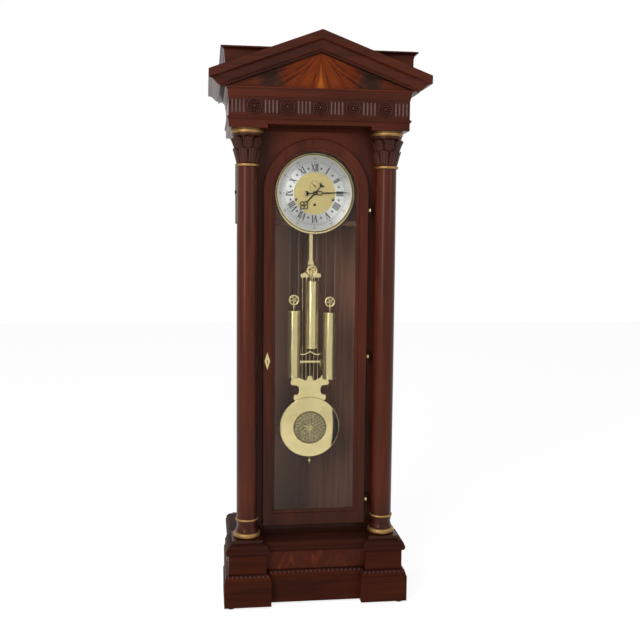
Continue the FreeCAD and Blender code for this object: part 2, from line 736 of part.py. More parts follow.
def architrave():
    """Fascia board with a block over each column, and the moulded soffit slab on it."""
    inner = X_PIER_INNER
    right = [(inner, Y_FRAME), (inner, Y_PIER), (X_PIER, Y_PIER), (X_PIER, Y_BACK)]
    plan = [(-x, y) for x, y in reversed(right)] + right
    corners = [V(x, y, Z_ARCHITRAVE) for x, y in plan]
    blocks = Part.Face(Part.makePolygon(corners + corners[:1])).extrude(V(0, 0, ARCHITRAVE_HEIGHT))
    fascia = box(-inner, inner, Y_PIER, Y_FRAME, Z_SOFFIT - ARCHITRAVE_FASCIA, Z_SOFFIT)
    board = blocks.fuse(fascia).removeSplitter()
    bead = SOFFIT_HEIGHT / 4
    profile = [(2, Z_SOFFIT), (2, Z_SOFFIT + bead - 1), (5, Z_SOFFIT + bead), (7, Z_SOFFIT + 2 * bead)]
    profile += [(5, Z_FRIEZE - bead), (1, Z_FRIEZE - bead + 1), (1, Z_FRIEZE)]
    return [board, moulded(head_outline, profile)]


ROSETTE_STEPS = (-2, -1, 0, 1, 2)
ROSETTE_PITCH = (X_PIER - FRIEZE_END) / (ROSETTE_STEPS[-1] + 0.5)


def rosette_places():
    """Middle of each frieze rosette in X."""
    return [ROSETTE_PITCH * step for step in ROSETTE_STEPS]


def frieze():
    """Front board with groups of flutes between the rosettes, and plain side boards."""
    front = box(-X_PIER, X_PIER, Y_PIER, Y_PIER + BOARD, Z_FRIEZE, Z_BED)
    middle = (Z_FRIEZE + Z_BED) / 2
    reach = FLUTE_LENGTH / 2 - FLUTE_WIDTH / 2
    flutes = []
    for group in rosette_places() + [X_PIER - FRIEZE_END + ROSETTE_PITCH / 2]:
        for step in range(FLUTES_IN_GROUP):
            x = group - ROSETTE_PITCH / 2 + (step - (FLUTES_IN_GROUP - 1) / 2) * FLUTE_PITCH
            left, right = x - FLUTE_WIDTH / 2, x + FLUTE_WIDTH / 2
            low, high = middle - reach, middle + reach
            slot = [(left, low, -1.0), (right, low), (right, high, -1.0), (left, high)]
            flutes.append(plate(slot, Y_PIER - 1, Y_PIER + FLUTE_DEPTH))
    side = box(X_PIER - BOARD, X_PIER, Y_PIER + BOARD, Y_BACK, Z_FRIEZE, Z_BED)
    return [cut(front, *flutes), side, mirrored(side)]


def rosettes():
    """Turned roundels on the frieze: a rim, a dished flower field and a boss."""
    middle = (Z_FRIEZE + Z_BED) / 2
    edge = ROSETTE_DIAMETER / 2
    face = Y_PIER
    deep = face - ROSETTE_DEPTH
    outline = [(0, face), (edge, face), (edge, face - 3), (edge - 2, deep + 3, 0.5), (edge - 5, deep + 3)]
    outline += [(edge - 6, face - 3), (edge * 0.35, deep + 4), (edge * 0.3, deep + 2)]
    outline += [(edge * 0.15, deep), (0, deep)]
    return [spun(outline, x, middle) for x in rosette_places()]


def bed_moulding():
    """Slab with a cove edge between the frieze and the pediment."""
    lip = 6.0
    profile = [(2, Z_BED), (2, Z_BED + lip)]
    profile += quarter(3, Z_BED + lip, BED_OUT - 2, Z_ATTIC - lip, True)
    profile += [(BED_OUT, Z_ATTIC - lip), (BED_OUT, Z_ATTIC)]
    return moulded(head_outline, profile)


def cornice_profile():
    """Section of the cornice as (share out, fall): fascia, step and a cyma down to the wall."""
    lip, foot = 3.0, 8.0
    out_top, out_low = 0.9, 0.3
    points = [(0.0, 0.0), (1.0, 0.0), (1.0, RAKE_FASCIA), (out_top, RAKE_FASCIA + lip)]
    steps = 10
    drop = RAKE_DEPTH - foot - RAKE_FASCIA - lip
    for step in range(1, steps + 1):
        share = step / steps
        sweep = share - 0.07 * math.sin(2 * math.pi * share)
        points.append((out_top + (out_low - out_top) * share, RAKE_FASCIA + lip + drop * sweep))
    return points + [(out_low, RAKE_DEPTH), (0.0, RAKE_DEPTH)]


def raking_cornice():
    """Right half of the raking cornice, mitred to the side cornice at the eaves."""
    corners = []
    for share, fall in cornice_profile():
        corners.append(V(X_EAVES, Y_GABLE - share * CORNICE_FRONT_OUT, Z_EAVES - fall))
    bar = Part.Face(Part.makePolygon(corners + corners[:1])).extrude(V(-X_EAVES, 0, PEDIMENT_RISE))
    far = 2.0
    plan = [
        V(X_ATTIC, Y_GABLE, Z_BED),
        V(X_ATTIC + far * CORNICE_SIDE_OUT, Y_GABLE, Z_BED),
        V(X_ATTIC + far * CORNICE_SIDE_OUT, Y_GABLE - far * CORNICE_FRONT_OUT, Z_BED),
    ]
    mitre = Part.Face(Part.makePolygon(plan + plan[:1])).extrude(V(0, 0, Z_TOP - Z_BED))
    return cut(bar, mitre)


def side_cornice():
    """Right side cornice, whose section is the raking one seen level."""
    corners = []
    for share, fall in cornice_profile():
        out = share * CORNICE_SIDE_OUT
        level = Z_EAVES - fall + (CORNICE_SIDE_OUT - out) * RAKE_SLOPE
        corners.append(V(X_ATTIC + out, Y_FRONT, level))
    bar = Part.Face(Part.makePolygon(corners + corners[:1])).extrude(V(0, CASE_DEPTH, 0))
    far = 2.0
    plan = [
        V(X_ATTIC, Y_GABLE, Z_BED),
        V(X_ATTIC + far * CORNICE_SIDE_OUT, Y_GABLE - far * CORNICE_FRONT_OUT, Z_BED),
        V(X_ATTIC, Y_GABLE - far * CORNICE_FRONT_OUT, Z_BED),
    ]
    mitre = Part.Face(Part.makePolygon(plan + plan[:1])).extrude(V(0, 0, Z_TOP - Z_BED))
    return cut(bar, mitre)


def gable_points(half, lip):
    """Outline of the pediment out to a half width, with its slopes a lip below the roof line."""
    shoulder = Z_EAVES + (X_EAVES - half) * RAKE_SLOPE - lip
    peak = Z_EAVES + PEDIMENT_RISE - lip
    return [(-half, Z_ATTIC), (half, Z_ATTIC), (half, shoulder), (0, peak), (-half, shoulder)]


def tympanum():
    """Gable board and the sunburst panel under the raking cornices."""
    board = plate(gable_points(X_ATTIC, GABLE_LIP), Y_GABLE, Y_ATTIC)
    peak = Z_EAVES + PEDIMENT_RISE - RAKE_DEPTH
    foot = (peak - Z_ATTIC) / RAKE_SLOPE
    panel = plate([(-foot, Z_ATTIC), (foot, Z_ATTIC), (0, peak)], Y_GABLE - VENEER_PANEL, Y_GABLE)
    return [board, panel]


def attic():
    """Attic box behind the pediment: four boards and a moulded crown slab let in round the gable."""
    front = box(-X_ATTIC, X_ATTIC, Y_ATTIC, Y_ATTIC + BOARD, Z_ATTIC, Z_CROWN)
    side = box(X_ATTIC - BOARD, X_ATTIC, Y_ATTIC + BOARD, Y_BACK - BACK_BOARD, Z_ATTIC, Z_CROWN)
    back = box(-X_ATTIC, X_ATTIC, Y_BACK - BACK_BOARD, Y_BACK, Z_ATTIC, Z_CROWN)
    low_back = box(-X_PIER + BOARD, X_PIER - BOARD, Y_BACK - BACK_BOARD, Y_BACK, Z_FRIEZE, Z_BED)
    fillet = 6.0
    profile = [(1, Z_CROWN), (1, Z_CROWN + 3)]
    profile += quarter(2, Z_CROWN + 3, ATTIC_CROWN_OUT, Z_TOP - fillet, True)
    profile += [(ATTIC_CROWN_OUT, Z_TOP)]
    roof = plate(gable_points(X_EAVES, 0.0), Y_FRONT, Y_GABLE)
    gable = plate(gable_points(X_ATTIC, GABLE_LIP), Y_GABLE, Y_ATTIC)
    crown = cut(moulded(attic_outline, profile), roof, gable)
    return [front, side, mirrored(side), back, low_back, crown]


# Door


def door_frame():
    """Arched door frame with an eased outer edge, the keyhole and a seat for each hinge leaf."""
    slab = plate(arch(X_DOOR, Z_DOOR), Y_DOOR + DOOR_EDGE, Y_DOOR_BACK)
    edge = arch_loft(X_DOOR - DOOR_EDGE, Z_DOOR + DOOR_EDGE, Y_DOOR, X_DOOR, Z_DOOR, Y_DOOR + DOOR_EDGE)
    opening = plate(arch(X_GLAZED, Z_DOOR + DOOR_BOTTOM_RAIL), Y_DOOR - 1, Y_DOOR_BACK + 1)
    keyhole = pin_y(X_LOCK, Z_LOCK, KEYHOLE_RADIUS, Y_DOOR - 1, Y_DOOR_BACK + 1)
    return cut(joined(slab, edge), opening, keyhole)


def bead_lengths(frame, width):
    """An arched bead in its four lengths: the rail, two uprights and the arch."""
    bottom = Z_DOOR + DOOR_BOTTOM_RAIL
    levels = (bottom, bottom + width, Z_ARCH, Z_ARCH + X_GLAZED)
    lengths = []
    for low, high in zip(levels, levels[1:]):
        lengths += frame.common(box(-X_GLAZED, X_GLAZED, Y_DOOR, Y_DOOR_BACK, low, high)).Solids
    return lengths


def glazing_beads():
    """Moulding round the glass in front, and the plain bead that holds the glass in behind."""
    bottom = Z_DOOR + DOOR_BOTTOM_RAIL
    front = Y_DOOR + GLAZING_STEP
    sight = X_GLAZED - GLAZING_BEAD
    lip_half, lip_bottom = X_GLAZED - GLAZING_STEP, bottom + GLAZING_STEP
    moulding = plate(arch(X_GLAZED, bottom), front, Y_GLASS)
    slope = arch_loft(lip_half, lip_bottom, front, sight, bottom + GLAZING_BEAD, Y_GLASS - 2)
    through = plate(arch(sight, bottom + GLAZING_BEAD), front - 1, Y_GLASS + 1)
    keeper = plate(arch(X_GLAZED, bottom), Y_GLASS + GLASS_THICKNESS, Y_DOOR_BACK)
    keeper_arch = arch(X_GLAZED - KEEPER_BEAD, bottom + KEEPER_BEAD)
    keeper = cut(keeper, plate(keeper_arch, Y_GLASS, Y_DOOR_BACK + 1))
    return bead_lengths(cut(moulding, slope, through), GLAZING_BEAD) + bead_lengths(keeper, KEEPER_BEAD)


def door_glass():
    """Arched pane."""
    bottom = Z_DOOR + DOOR_BOTTOM_RAIL
    return plate(arch(X_GLAZED - SEAT_GAP, bottom + SEAT_GAP), Y_GLASS, Y_GLASS + GLASS_THICKNESS)


def escutcheon():
    """Diamond plate with a keyhole on the lock stile."""
    half_x, half_z = ESCUTCHEON_WIDTH / 2, ESCUTCHEON_HEIGHT / 2
    front = Y_DOOR - ESCUTCHEON_THICKNESS
    diamond = [(X_LOCK, Z_LOCK - half_z), (X_LOCK + half_x, Z_LOCK)]
    diamond += [(X_LOCK, Z_LOCK + half_z), (X_LOCK - half_x, Z_LOCK)]
    hole = pin_y(X_LOCK, Z_LOCK, KEYHOLE_RADIUS, front - 1, Y_DOOR + 1)
    narrow = KEYHOLE_RADIUS * 0.45
    slot = box(X_LOCK - narrow, X_LOCK + narrow, front - 1, Y_DOOR + 1, Z_LOCK - KEYHOLE_LENGTH, Z_LOCK)
    return cut(plate(diamond, front, Y_DOOR), hole, slot)


X_LOCK_EDGE = LOCK_INSET + DOOR_LAP - X_DOOR
X_BOLT_TIP = X_LOCK_EDGE + 1


def lock_case():
    """Rim lock on the back of the door's left stile, with the channel that guides its bolt."""
    back = Y_BOLT + BOLT_THICKNESS + LOCK_WALL
    far = X_LOCK_EDGE + LOCK_WIDTH
    half = LOCK_HEIGHT / 2
    case = box(X_LOCK_EDGE, far, Y_DOOR_BACK, back, Z_LOCK - half, Z_LOCK + half)
    channel = box(
        X_LOCK_EDGE - 1,
        far - LOCK_WALL + 1,
        Y_BOLT - RUN_GAP,
        Y_BOLT + BOLT_THICKNESS + RUN_GAP,
        Z_LOCK - BOLT_HEIGHT / 2 - RUN_GAP,
        Z_LOCK + BOLT_HEIGHT / 2 + RUN_GAP,
    )
    return cut(case, channel)


def lock_bolt():
    """Square bolt, drawn back into the lock."""
    half = BOLT_HEIGHT / 2
    tail = X_BOLT_TIP + BOLT_LENGTH
    return box(X_BOLT_TIP, tail, Y_BOLT, Y_BOLT + BOLT_THICKNESS, Z_LOCK - half, Z_LOCK + half)


def hinge_knuckle(z0, z1):
    """Bored knuckle on the hinge axis."""
    tube = pin_z(X_HINGE, Y_HINGE, HINGE_RADIUS, z0, z1)
    return cut(tube, pin_z(X_HINGE, Y_HINGE, HINGE_PIN_RADIUS + RUN_GAP, z0 - 1, z1 + 1))


def door_hinge_leaves():
    """Middle knuckle of each hinge with its leaf on the door's edge."""
    leaves = []
    third = HINGE_LENGTH / 6
    for z in HINGE_LEVELS:
        low, high = z - third + SEAT_GAP, z + third - SEAT_GAP
        leaf = box(X_DOOR, X_DOOR + HINGE_LEAF, Y_HINGE - 1, Y_DOOR_BACK - 2, low, high)
        web = box(X_DOOR, X_HINGE, Y_HINGE - 1, Y_HINGE + 1, low, high)
        bore = pin_z(X_HINGE, Y_HINGE, HINGE_PIN_RADIUS + RUN_GAP, low - 1, high + 1)
        leaves.append(cut(joined(hinge_knuckle(low, high), web, leaf), bore))
    return leaves


def case_hinge_leaves():
    """Outer knuckles of each hinge, the pin with ball ends, and the leaf on the face frame."""
    leaves = []
    third = HINGE_LENGTH / 6
    for z in HINGE_LEVELS:
        pieces = []
        for low, high in ((z - 3 * third, z - third), (z + third, z + 3 * third)):
            pieces.append(pin_z(X_HINGE, Y_HINGE, HINGE_RADIUS, low, high))
            arm_x = X_HINGE + HINGE_RADIUS - HINGE_LEAF
            pieces.append(box(arm_x, arm_x + HINGE_LEAF, Y_HINGE, Y_FRAME, low, high))
            pieces.append(box(arm_x, arm_x + HINGE_FLAP, Y_FRAME - HINGE_LEAF, Y_FRAME, low, high))
        for end in (z - 3 * third, z + 3 * third):
            pieces.append(Part.makeSphere(HINGE_RADIUS * 0.9, V(X_HINGE, Y_HINGE, end)))
        pin = pin_z(X_HINGE, Y_HINGE, HINGE_PIN_RADIUS, z - 3 * third, z + 3 * third)
        leaves.append(joined(pin, *pieces))
    return leaves


# Dial and hands


def dial_holes(y0, y1):
    """Holes for the hands' centre, the seconds arbor and the three winding squares."""
    holes = [pin_y(x, z, WINDING_HOLE_RADIUS, y0, y1) for x, z in DRUM_CENTRES]
    holes.append(pin_y(0, Z_ARCH, CENTRE_HOLE_RADIUS, y0, y1))
    holes.append(pin_y(0, Z_SECONDS, TRAIN_ARBOR_RADIUS + 1, y0, y1))
    return holes


def dial_plate():
    """Dial plate on four feet that stand on the movement's front plate."""
    back = Y_DIAL_PLATE + DIAL_PLATE
    disc = pin_y(0, Z_ARCH, DIAL_RADIUS, Y_DIAL_PLATE, back)
    disc = cut(disc, *dial_holes(Y_DIAL_PLATE - 1, back + 1))
    foot_x, foot_z = PLATE_WIDTH / 2 - DIAL_FOOT_INSET, PLATE_HEIGHT / 3
    feet = []
    for x in (-foot_x, foot_x):
        for z in (-foot_z, foot_z):
            feet.append(pin_y(x, Z_ARCH + z, DIAL_FOOT_RADIUS, back, Y_FRONT_PLATE - PLATE_THICKNESS))
    return joined(disc, *feet)


def chapter_ring():
    """Silvered ring that carries the hours."""
    disc = pin_y(0, Z_ARCH, DIAL_RADIUS, Y_DIAL, Y_DIAL_PLATE)
    inner = pin_y(0, Z_ARCH, CHAPTER_INNER_RADIUS, Y_DIAL - 1, Y_DIAL_PLATE + 1)
    return cut(disc, inner, *dial_holes(Y_DIAL - 1, Y_DIAL_PLATE + 1))


def bezel():
    """Moulded brass ring round the dial, lapping over its edge."""
    inner, outer = BEZEL_RADIUS - BEZEL_WIDTH, BEZEL_RADIUS
    back = Y_DIAL_PLATE + DIAL_PLATE
    front = back - BEZEL_DEPTH
    groove = inner + BEZEL_WIDTH * 0.2
    ridge = inner + BEZEL_WIDTH * 0.45
    outline = [(inner, Y_DIAL), (inner, Y_DIAL - 4), (groove, Y_DIAL - 4), (groove, Y_DIAL - 1)]
    outline += [(ridge, Y_DIAL - 1), (ridge, front + 2, -0.5), (outer, front + 8), (outer, back)]
    outline += [(DIAL_RADIUS, back), (DIAL_RADIUS, Y_DIAL)]
    return spun(outline, 0, Z_ARCH)


def hand_plate(points, front):
    """Hand blade, drawn upright from the dial centre."""
    return plate([(x, Z_ARCH + z, *bulge) for x, z, *bulge in points], front, front + HAND_THICKNESS)


def hand_ring(rise, outer, inner, front):
    """Pierced loop in a hand."""
    ring_shape = pin_y(0, Z_ARCH + rise, outer, front, front + HAND_THICKNESS)
    return cut(ring_shape, pin_y(0, Z_ARCH + rise, inner, front - 1, front + HAND_THICKNESS + 1))


Y_HOUR_HAND = Y_DIAL - HAND_SPACING
Y_MINUTE_HAND = Y_HOUR_HAND - HAND_SPACING
Y_SECONDS_HAND = Y_DIAL - 1.0
HOUR_PIPE_INNER = CENTRE_ARBOR_RADIUS + RUN_GAP
HOUR_PIPE_OUTER = HOUR_PIPE_INNER + 2.0


def hand_tail(length, front):
    """Tail with a crescent end."""
    bar = hand_plate([(-2.6, 0), (-2, -length), (2, -length), (2.6, 0)], front)
    moon = pin_y(0, Z_ARCH - length, TAIL_RADIUS, front, front + HAND_THICKNESS)
    bite_radius = TAIL_RADIUS * 0.85
    bite_level = Z_ARCH - length - TAIL_RADIUS * 0.7
    bite = pin_y(0, bite_level, bite_radius, front - 1, front + HAND_THICKNESS + 1)
    return joined(bar, cut(moon, bite))


def hand_loop(low, high, half, front):
    """Pierced leaf-shaped loop between two rises along a hand."""
    leaves = []
    for inset in (0.0, HAND_LOOP_BAND):
        bow = 2 * (half - inset) / (high - low - 3 * inset)
        points = [(0, low + 1.5 * inset, bow), (0, high - 1.5 * inset, bow)]
        leaves.append(hand_plate(points, front))
    return cut(*leaves)


def minute_hand():
    """Long slender hand with a loop near its boss, on the square of the centre arbor."""
    front = Y_MINUTE_HAND
    boss = pin_y(0, Z_ARCH, MINUTE_BOSS_RADIUS, front - 1, front + HAND_THICKNESS)
    loop_end = MINUTE_HAND_LENGTH * 0.26
    loop = hand_loop(MINUTE_BOSS_RADIUS - 2, loop_end, HAND_LOOP_RADIUS, front)
    right = [(1.8, loop_end - 5), (3.2, loop_end + 8), (1.2, MINUTE_HAND_LENGTH)]
    blade = hand_plate(right + [(-x, z) for x, z in reversed(right)], front)
    hand = joined(boss, loop, blade, hand_tail(loop_end, front))
    hand = cut(hand, pin_y(0, Z_ARCH, CENTRE_ARBOR_RADIUS, front - 2, front + HAND_THICKNESS + 1))
    return hand.rotate(V(0, 0, Z_ARCH), V(0, 1, 0), MINUTE_HAND_TURN)


def hour_hand():
    """Short hand with a pierced quatrefoil, on the hour pipe that turns round the centre arbor."""
    front = Y_HOUR_HAND
    centre = HOUR_HAND_LENGTH * 0.7
    lobe_out = HAND_LOOP_RADIUS + 1
    bar_end = centre - lobe_out - HAND_LOOP_BAND
    bar = hand_plate([(-3, 0), (3, 0), (2.4, bar_end), (-2.4, bar_end)], front)
    lobes = []
    for side, rise in ((0, -lobe_out), (0, lobe_out), (-lobe_out, 0), (lobe_out, 0)):
        lobe = hand_ring(centre + rise, HAND_LOOP_RADIUS, HAND_LOOP_RADIUS - HAND_LOOP_BAND, front)
        lobe.translate(V(side, 0, 0))
        lobes.append(lobe)
    tip_foot = centre + lobe_out + HAND_LOOP_RADIUS - 2
    right = [(3.5, tip_foot), (0.8, HOUR_HAND_LENGTH)]
    tip = hand_plate(right + [(-x, z) for x, z in reversed(right)], front)
    boss = pin_y(0, Z_ARCH, HOUR_BOSS_RADIUS, front, front + HAND_THICKNESS)
    pipe = pin_y(0, Z_ARCH, HOUR_PIPE_OUTER, front, Y_FRONT_PLATE - PLATE_THICKNESS - SEAT_GAP)
    hand = joined(boss, bar, *lobes, tip, hand_tail(HOUR_HAND_LENGTH / 2, front), pipe)
    bore = pin_y(0, Z_ARCH, HOUR_PIPE_INNER, front - 1, Y_FRONT_PLATE)
    return cut(hand, bore).rotate(V(0, 0, Z_ARCH), V(0, 1, 0), HOUR_HAND_TURN)


def seconds_hand():
    """Small hand with a tail on the end of the escape arbor."""
    front = Y_SECONDS_HAND
    boss = pin_y(0, Z_SECONDS, 3.2, front, front + HAND_THICKNESS)
    back = front + HAND_THICKNESS
    low, high = Z_SECONDS - SECONDS_HAND_LENGTH * 0.55, Z_SECONDS + SECONDS_HAND_LENGTH
    blade = plate([(-1.4, low), (1.4, low), (0.5, high), (-0.5, high)], front, back)
    hand = cut(joined(boss, blade), pin_y(0, Z_SECONDS, TRAIN_ARBOR_RADIUS, front - 1, back + 1))
    return hand.rotate(V(0, 0, Z_SECONDS), V(0, 1, 0), SECONDS_HAND_TURN)


# Movement


def third_arbor():
    """Place of the third arbor, in mesh with both the centre wheel and the escape pinion."""
    to_centre = THIRD_MODULE * (CENTRE_WHEEL_TEETH + PINION_LEAVES) / 2
    to_escape = ESCAPE_MODULE * (THIRD_WHEEL_TEETH + PINION_LEAVES) / 2
    rise = (to_centre**2 - to_escape**2 + SECONDS_RISE**2) / (2 * SECONDS_RISE)
    return math.sqrt(to_centre**2 - rise**2), Z_ARCH + rise


X_THIRD, Z_THIRD = third_arbor()
ARBORS = (
    (DRUM_CENTRES[0], DRUM_ARBOR_RADIUS),
    (DRUM_CENTRES[1], DRUM_ARBOR_RADIUS),
    (DRUM_CENTRES[2], DRUM_ARBOR_RADIUS),
    ((0.0, Z_ARCH), CENTRE_ARBOR_RADIUS),
    ((X_THIRD, Z_THIRD), TRAIN_ARBOR_RADIUS),
    ((0.0, Z_SECONDS), TRAIN_ARBOR_RADIUS),
    ((0.0, Z_PIVOT), PALLET_ARBOR_RADIUS),
)


def gear(teeth, module, tooth, x, z, phase, y0, y1):
    """Toothed disc; phase is the clockwise turn in degrees of the middle of one tooth."""
    above, below, root_half, tip_half = tooth
    pitch = 360.0 / teeth
    root, tip = module * (teeth / 2 - below), module * (teeth / 2 + above)
    points = []
    for count in range(teeth):
        turn = phase + pitch * count
        points.append(polar(x, z, root, turn - pitch * root_half))
        points.append(polar(x, z, tip, turn - pitch * tip_half))
        points.append(polar(x, z, tip, turn + pitch * tip_half))
        points.append(polar(x, z, root, turn + pitch * root_half))
    return plate(points, y0, y1)


def mesh_turn(x0, z0, x1, z1):
    """Clockwise turn in degrees from one arbor towards another."""
    return math.degrees(math.atan2(x1 - x0, z1 - z0))


def crossed_out(wheel, x, z, hub, rim, spokes, y0, y1):
    """The wheel with the openings between its spokes cut away."""
    half = 180.0 / spokes - math.degrees(2.0 / rim)
    near = 180.0 / spokes - math.degrees(2.0 / hub)
    bow = math.tan(math.radians(half) / 2)
    bow_near = math.tan(math.radians(near) / 2)
    openings = []
    for count in range(spokes):
        turn = 360.0 / spokes * (count + 0.5)
        start, end = polar(x, z, hub, turn - near), polar(x, z, rim, turn - half)
        across, home = polar(x, z, rim, turn + half), polar(x, z, hub, turn + near)
        points = [start, (*end, bow), across, (*home, -bow_near)]
        openings.append(plate(points, y0 - 1, y1 + 1))
    return cut(wheel, *openings)


Y_GREAT_WHEEL = Y_FRONT_PLATE + 14
Y_CENTRE_WHEEL = Y_GREAT_WHEEL + 14
Y_THIRD_WHEEL = Y_CENTRE_WHEEL + 10
Y_ESCAPE_WHEEL = Y_THIRD_WHEEL + 12
Y_DRUM = Y_GREAT_WHEEL + 6
SLEEVE_RADIUS = DRUM_ARBOR_RADIUS + 2


def movement_plates():
    """Front and back plates with pivot holes, four pillars, and the cock that carries the pendulum."""
    half = PLATE_WIDTH / 2
    holes = []
    for (x, z), radius in ARBORS:
        holes.append(pin_y(x, z, radius + RUN_GAP, Y_FRONT_PLATE - 9, Y_BACK_PLATE + 9))
    pieces = []
    for y in (Y_FRONT_PLATE - PLATE_THICKNESS, Y_BACK_PLATE):
        blank = box(-half, half, y, y + PLATE_THICKNESS, Z_SEAT, Z_SEAT + PLATE_HEIGHT)
        pieces.append(cut(blank, *holes))
    for x in (-half + PILLAR_INSET, half - PILLAR_INSET):
        for z in (Z_SEAT + PILLAR_INSET, Z_SEAT + PLATE_HEIGHT - PILLAR_INSET):
            pieces.append(pin_y(x, z, PILLAR_RADIUS, Y_FRONT_PLATE, Y_BACK_PLATE))
    back = Y_BACK_PLATE + PLATE_THICKNESS
    far = Y_PENDULUM + 14
    arm_low = Z_PIVOT + 14
    half = COCK_WIDTH / 2
    arm = box(-half, half, back, far, arm_low, arm_low + 8)
    cheek = box(-half, half, far - 5, far, Z_PIVOT - 8, arm_low)
    pin = pin_y(0, Z_PIVOT, SUSPENSION_PIN_RADIUS, Y_PENDULUM - 6, far - 2)
    pieces.append(joined(arm, cheek, pin))
    return pieces


def drum_arbor(x, z):
    """Arbor through both plates with a winding square behind its dial hole."""
    shoulder = Y_FRONT_PLATE - PLATE_THICKNESS - 6
    arbor = pin_y(x, z, DRUM_ARBOR_RADIUS, shoulder, Y_BACK_PLATE + PLATE_THICKNESS)
    half = WINDING_SQUARE / 2
    return joined(arbor, box(x - half, x + half, Y_DIAL_PLATE, shoulder, z - half, z + half))


def drum(x, z, great_wheel):
    """Grooved cable drum between two flanges; the strike and chime drums carry their great wheels."""
    flange = DRUM_FLANGE
    pitch = (DRUM_LENGTH - 2 * flange) / GROOVE_COUNT
    outline = [(DRUM_ARBOR_RADIUS - 1, Y_DRUM), (DRUM_FLANGE_RADIUS, Y_DRUM)]
    outline += [(DRUM_FLANGE_RADIUS, Y_DRUM + flange)]
    for count in range(GROOVE_COUNT):
        start = Y_DRUM + flange + pitch * count
        outline += [(DRUM_RADIUS, start), (DRUM_RADIUS - CABLE_RADIUS, start + pitch / 2)]
    end = Y_DRUM + DRUM_LENGTH
    outline += [(DRUM_RADIUS, end - flange), (DRUM_FLANGE_RADIUS, end - flange), (DRUM_FLANGE_RADIUS, end)]
    outline += [(DRUM_ARBOR_RADIUS - 1, end)]
    body = joined(spun(outline, x, z), drum_arbor(x, z))
    if not great_wheel:
        sleeve = pin_y(x, z, SLEEVE_RADIUS, Y_GREAT_WHEEL - 4, Y_DRUM)
        return joined(body, sleeve)
    wheel = gear(STRIKE_WHEEL_TEETH, STRIKE_MODULE, WHEEL_TOOTH, x, z, 0, end, end + WHEEL_THICKNESS)
    rim = STRIKE_MODULE * STRIKE_WHEEL_TEETH / 2 - 6
    wheel = crossed_out(wheel, x, z, DRUM_FLANGE_RADIUS + 1, rim, 6, end, end + WHEEL_THICKNESS)
    return joined(body, wheel)


def great_wheel():
    """Great wheel of the going train, loose on the sleeve of the centre drum."""
    x, z = DRUM_CENTRES[1]
    y0, y1 = Y_GREAT_WHEEL, Y_GREAT_WHEEL + WHEEL_THICKNESS
    wheel = gear(GREAT_WHEEL_TEETH, GREAT_MODULE, WHEEL_TOOTH, x, z, 0, y0, y1)
    rim = GREAT_MODULE * GREAT_WHEEL_TEETH / 2 - 6
    wheel = crossed_out(wheel, x, z, SLEEVE_RADIUS + 6, rim, 5, y0, y1)
    hub = pin_y(x, z, SLEEVE_RADIUS + 4, y0 - 2, y1 + 2)
    return cut(joined(wheel, hub), pin_y(x, z, SLEEVE_RADIUS + RUN_GAP, y0 - 3, y1 + 3))


def train_arbor(x, z, radius, front, wheel_y, wheel, pinion):
    """Arbor with its wheel and its pinion."""
    arbor = pin_y(x, z, radius, front, Y_BACK_PLATE + PLATE_THICKNESS)
    hub = pin_y(x, z, radius + HUB_WALL, wheel_y - 2, wheel_y + WHEEL_THICKNESS + 2)
    return joined(arbor, hub, wheel, pinion)


def pinion_at(x, z, module, towards, wheel_y):
    """Eight-leaved pinion with a gap between two leaves facing the wheel that drives it."""
    phase = towards + 180.0 / PINION_LEAVES
    start = wheel_y + WHEEL_THICKNESS / 2 - PINION_LENGTH / 2
    return gear(PINION_LEAVES, module, PINION_TOOTH, x, z, phase, start, start + PINION_LENGTH)


def wheel_at(x, z, teeth, module, towards, wheel_y, arbor):
    """Crossed-out wheel with one tooth pointing at the pinion that it drives."""
    y1 = wheel_y + WHEEL_THICKNESS
    wheel = gear(teeth, module, WHEEL_TOOTH, x, z, towards, wheel_y, y1)
    hub, rim = arbor + HUB_WALL + 3.5, module * teeth / 2 - WHEEL_RIM
    return crossed_out(wheel, x, z, hub, rim, 4, wheel_y, y1)


def centre_wheel():
    """Centre arbor, which carries the minute hand, with its pinion and wheel."""
    x, z = DRUM_CENTRES[1]
    pinion = pinion_at(0, Z_ARCH, GREAT_MODULE, mesh_turn(0, Z_ARCH, x, z), Y_GREAT_WHEEL)
    turn = mesh_turn(0, Z_ARCH, X_THIRD, Z_THIRD)
    radius, wheel_y = CENTRE_ARBOR_RADIUS, Y_CENTRE_WHEEL
    wheel = wheel_at(0, Z_ARCH, CENTRE_WHEEL_TEETH, THIRD_MODULE, turn, wheel_y, radius)
    front = Y_MINUTE_HAND - HAND_SPACING
    return train_arbor(0, Z_ARCH, radius, front, wheel_y, wheel, pinion)


def third_wheel():
    """Third arbor between the centre wheel and the escape pinion."""
    x, z = X_THIRD, Z_THIRD
    pinion = pinion_at(x, z, THIRD_MODULE, mesh_turn(x, z, 0, Z_ARCH), Y_CENTRE_WHEEL)
    turn = mesh_turn(x, z, 0, Z_SECONDS)
    radius, wheel_y = TRAIN_ARBOR_RADIUS, Y_THIRD_WHEEL
    wheel = wheel_at(x, z, THIRD_WHEEL_TEETH, ESCAPE_MODULE, turn, wheel_y, radius)
    return train_arbor(x, z, radius, Y_FRONT_PLATE - PLATE_THICKNESS, wheel_y, wheel, pinion)


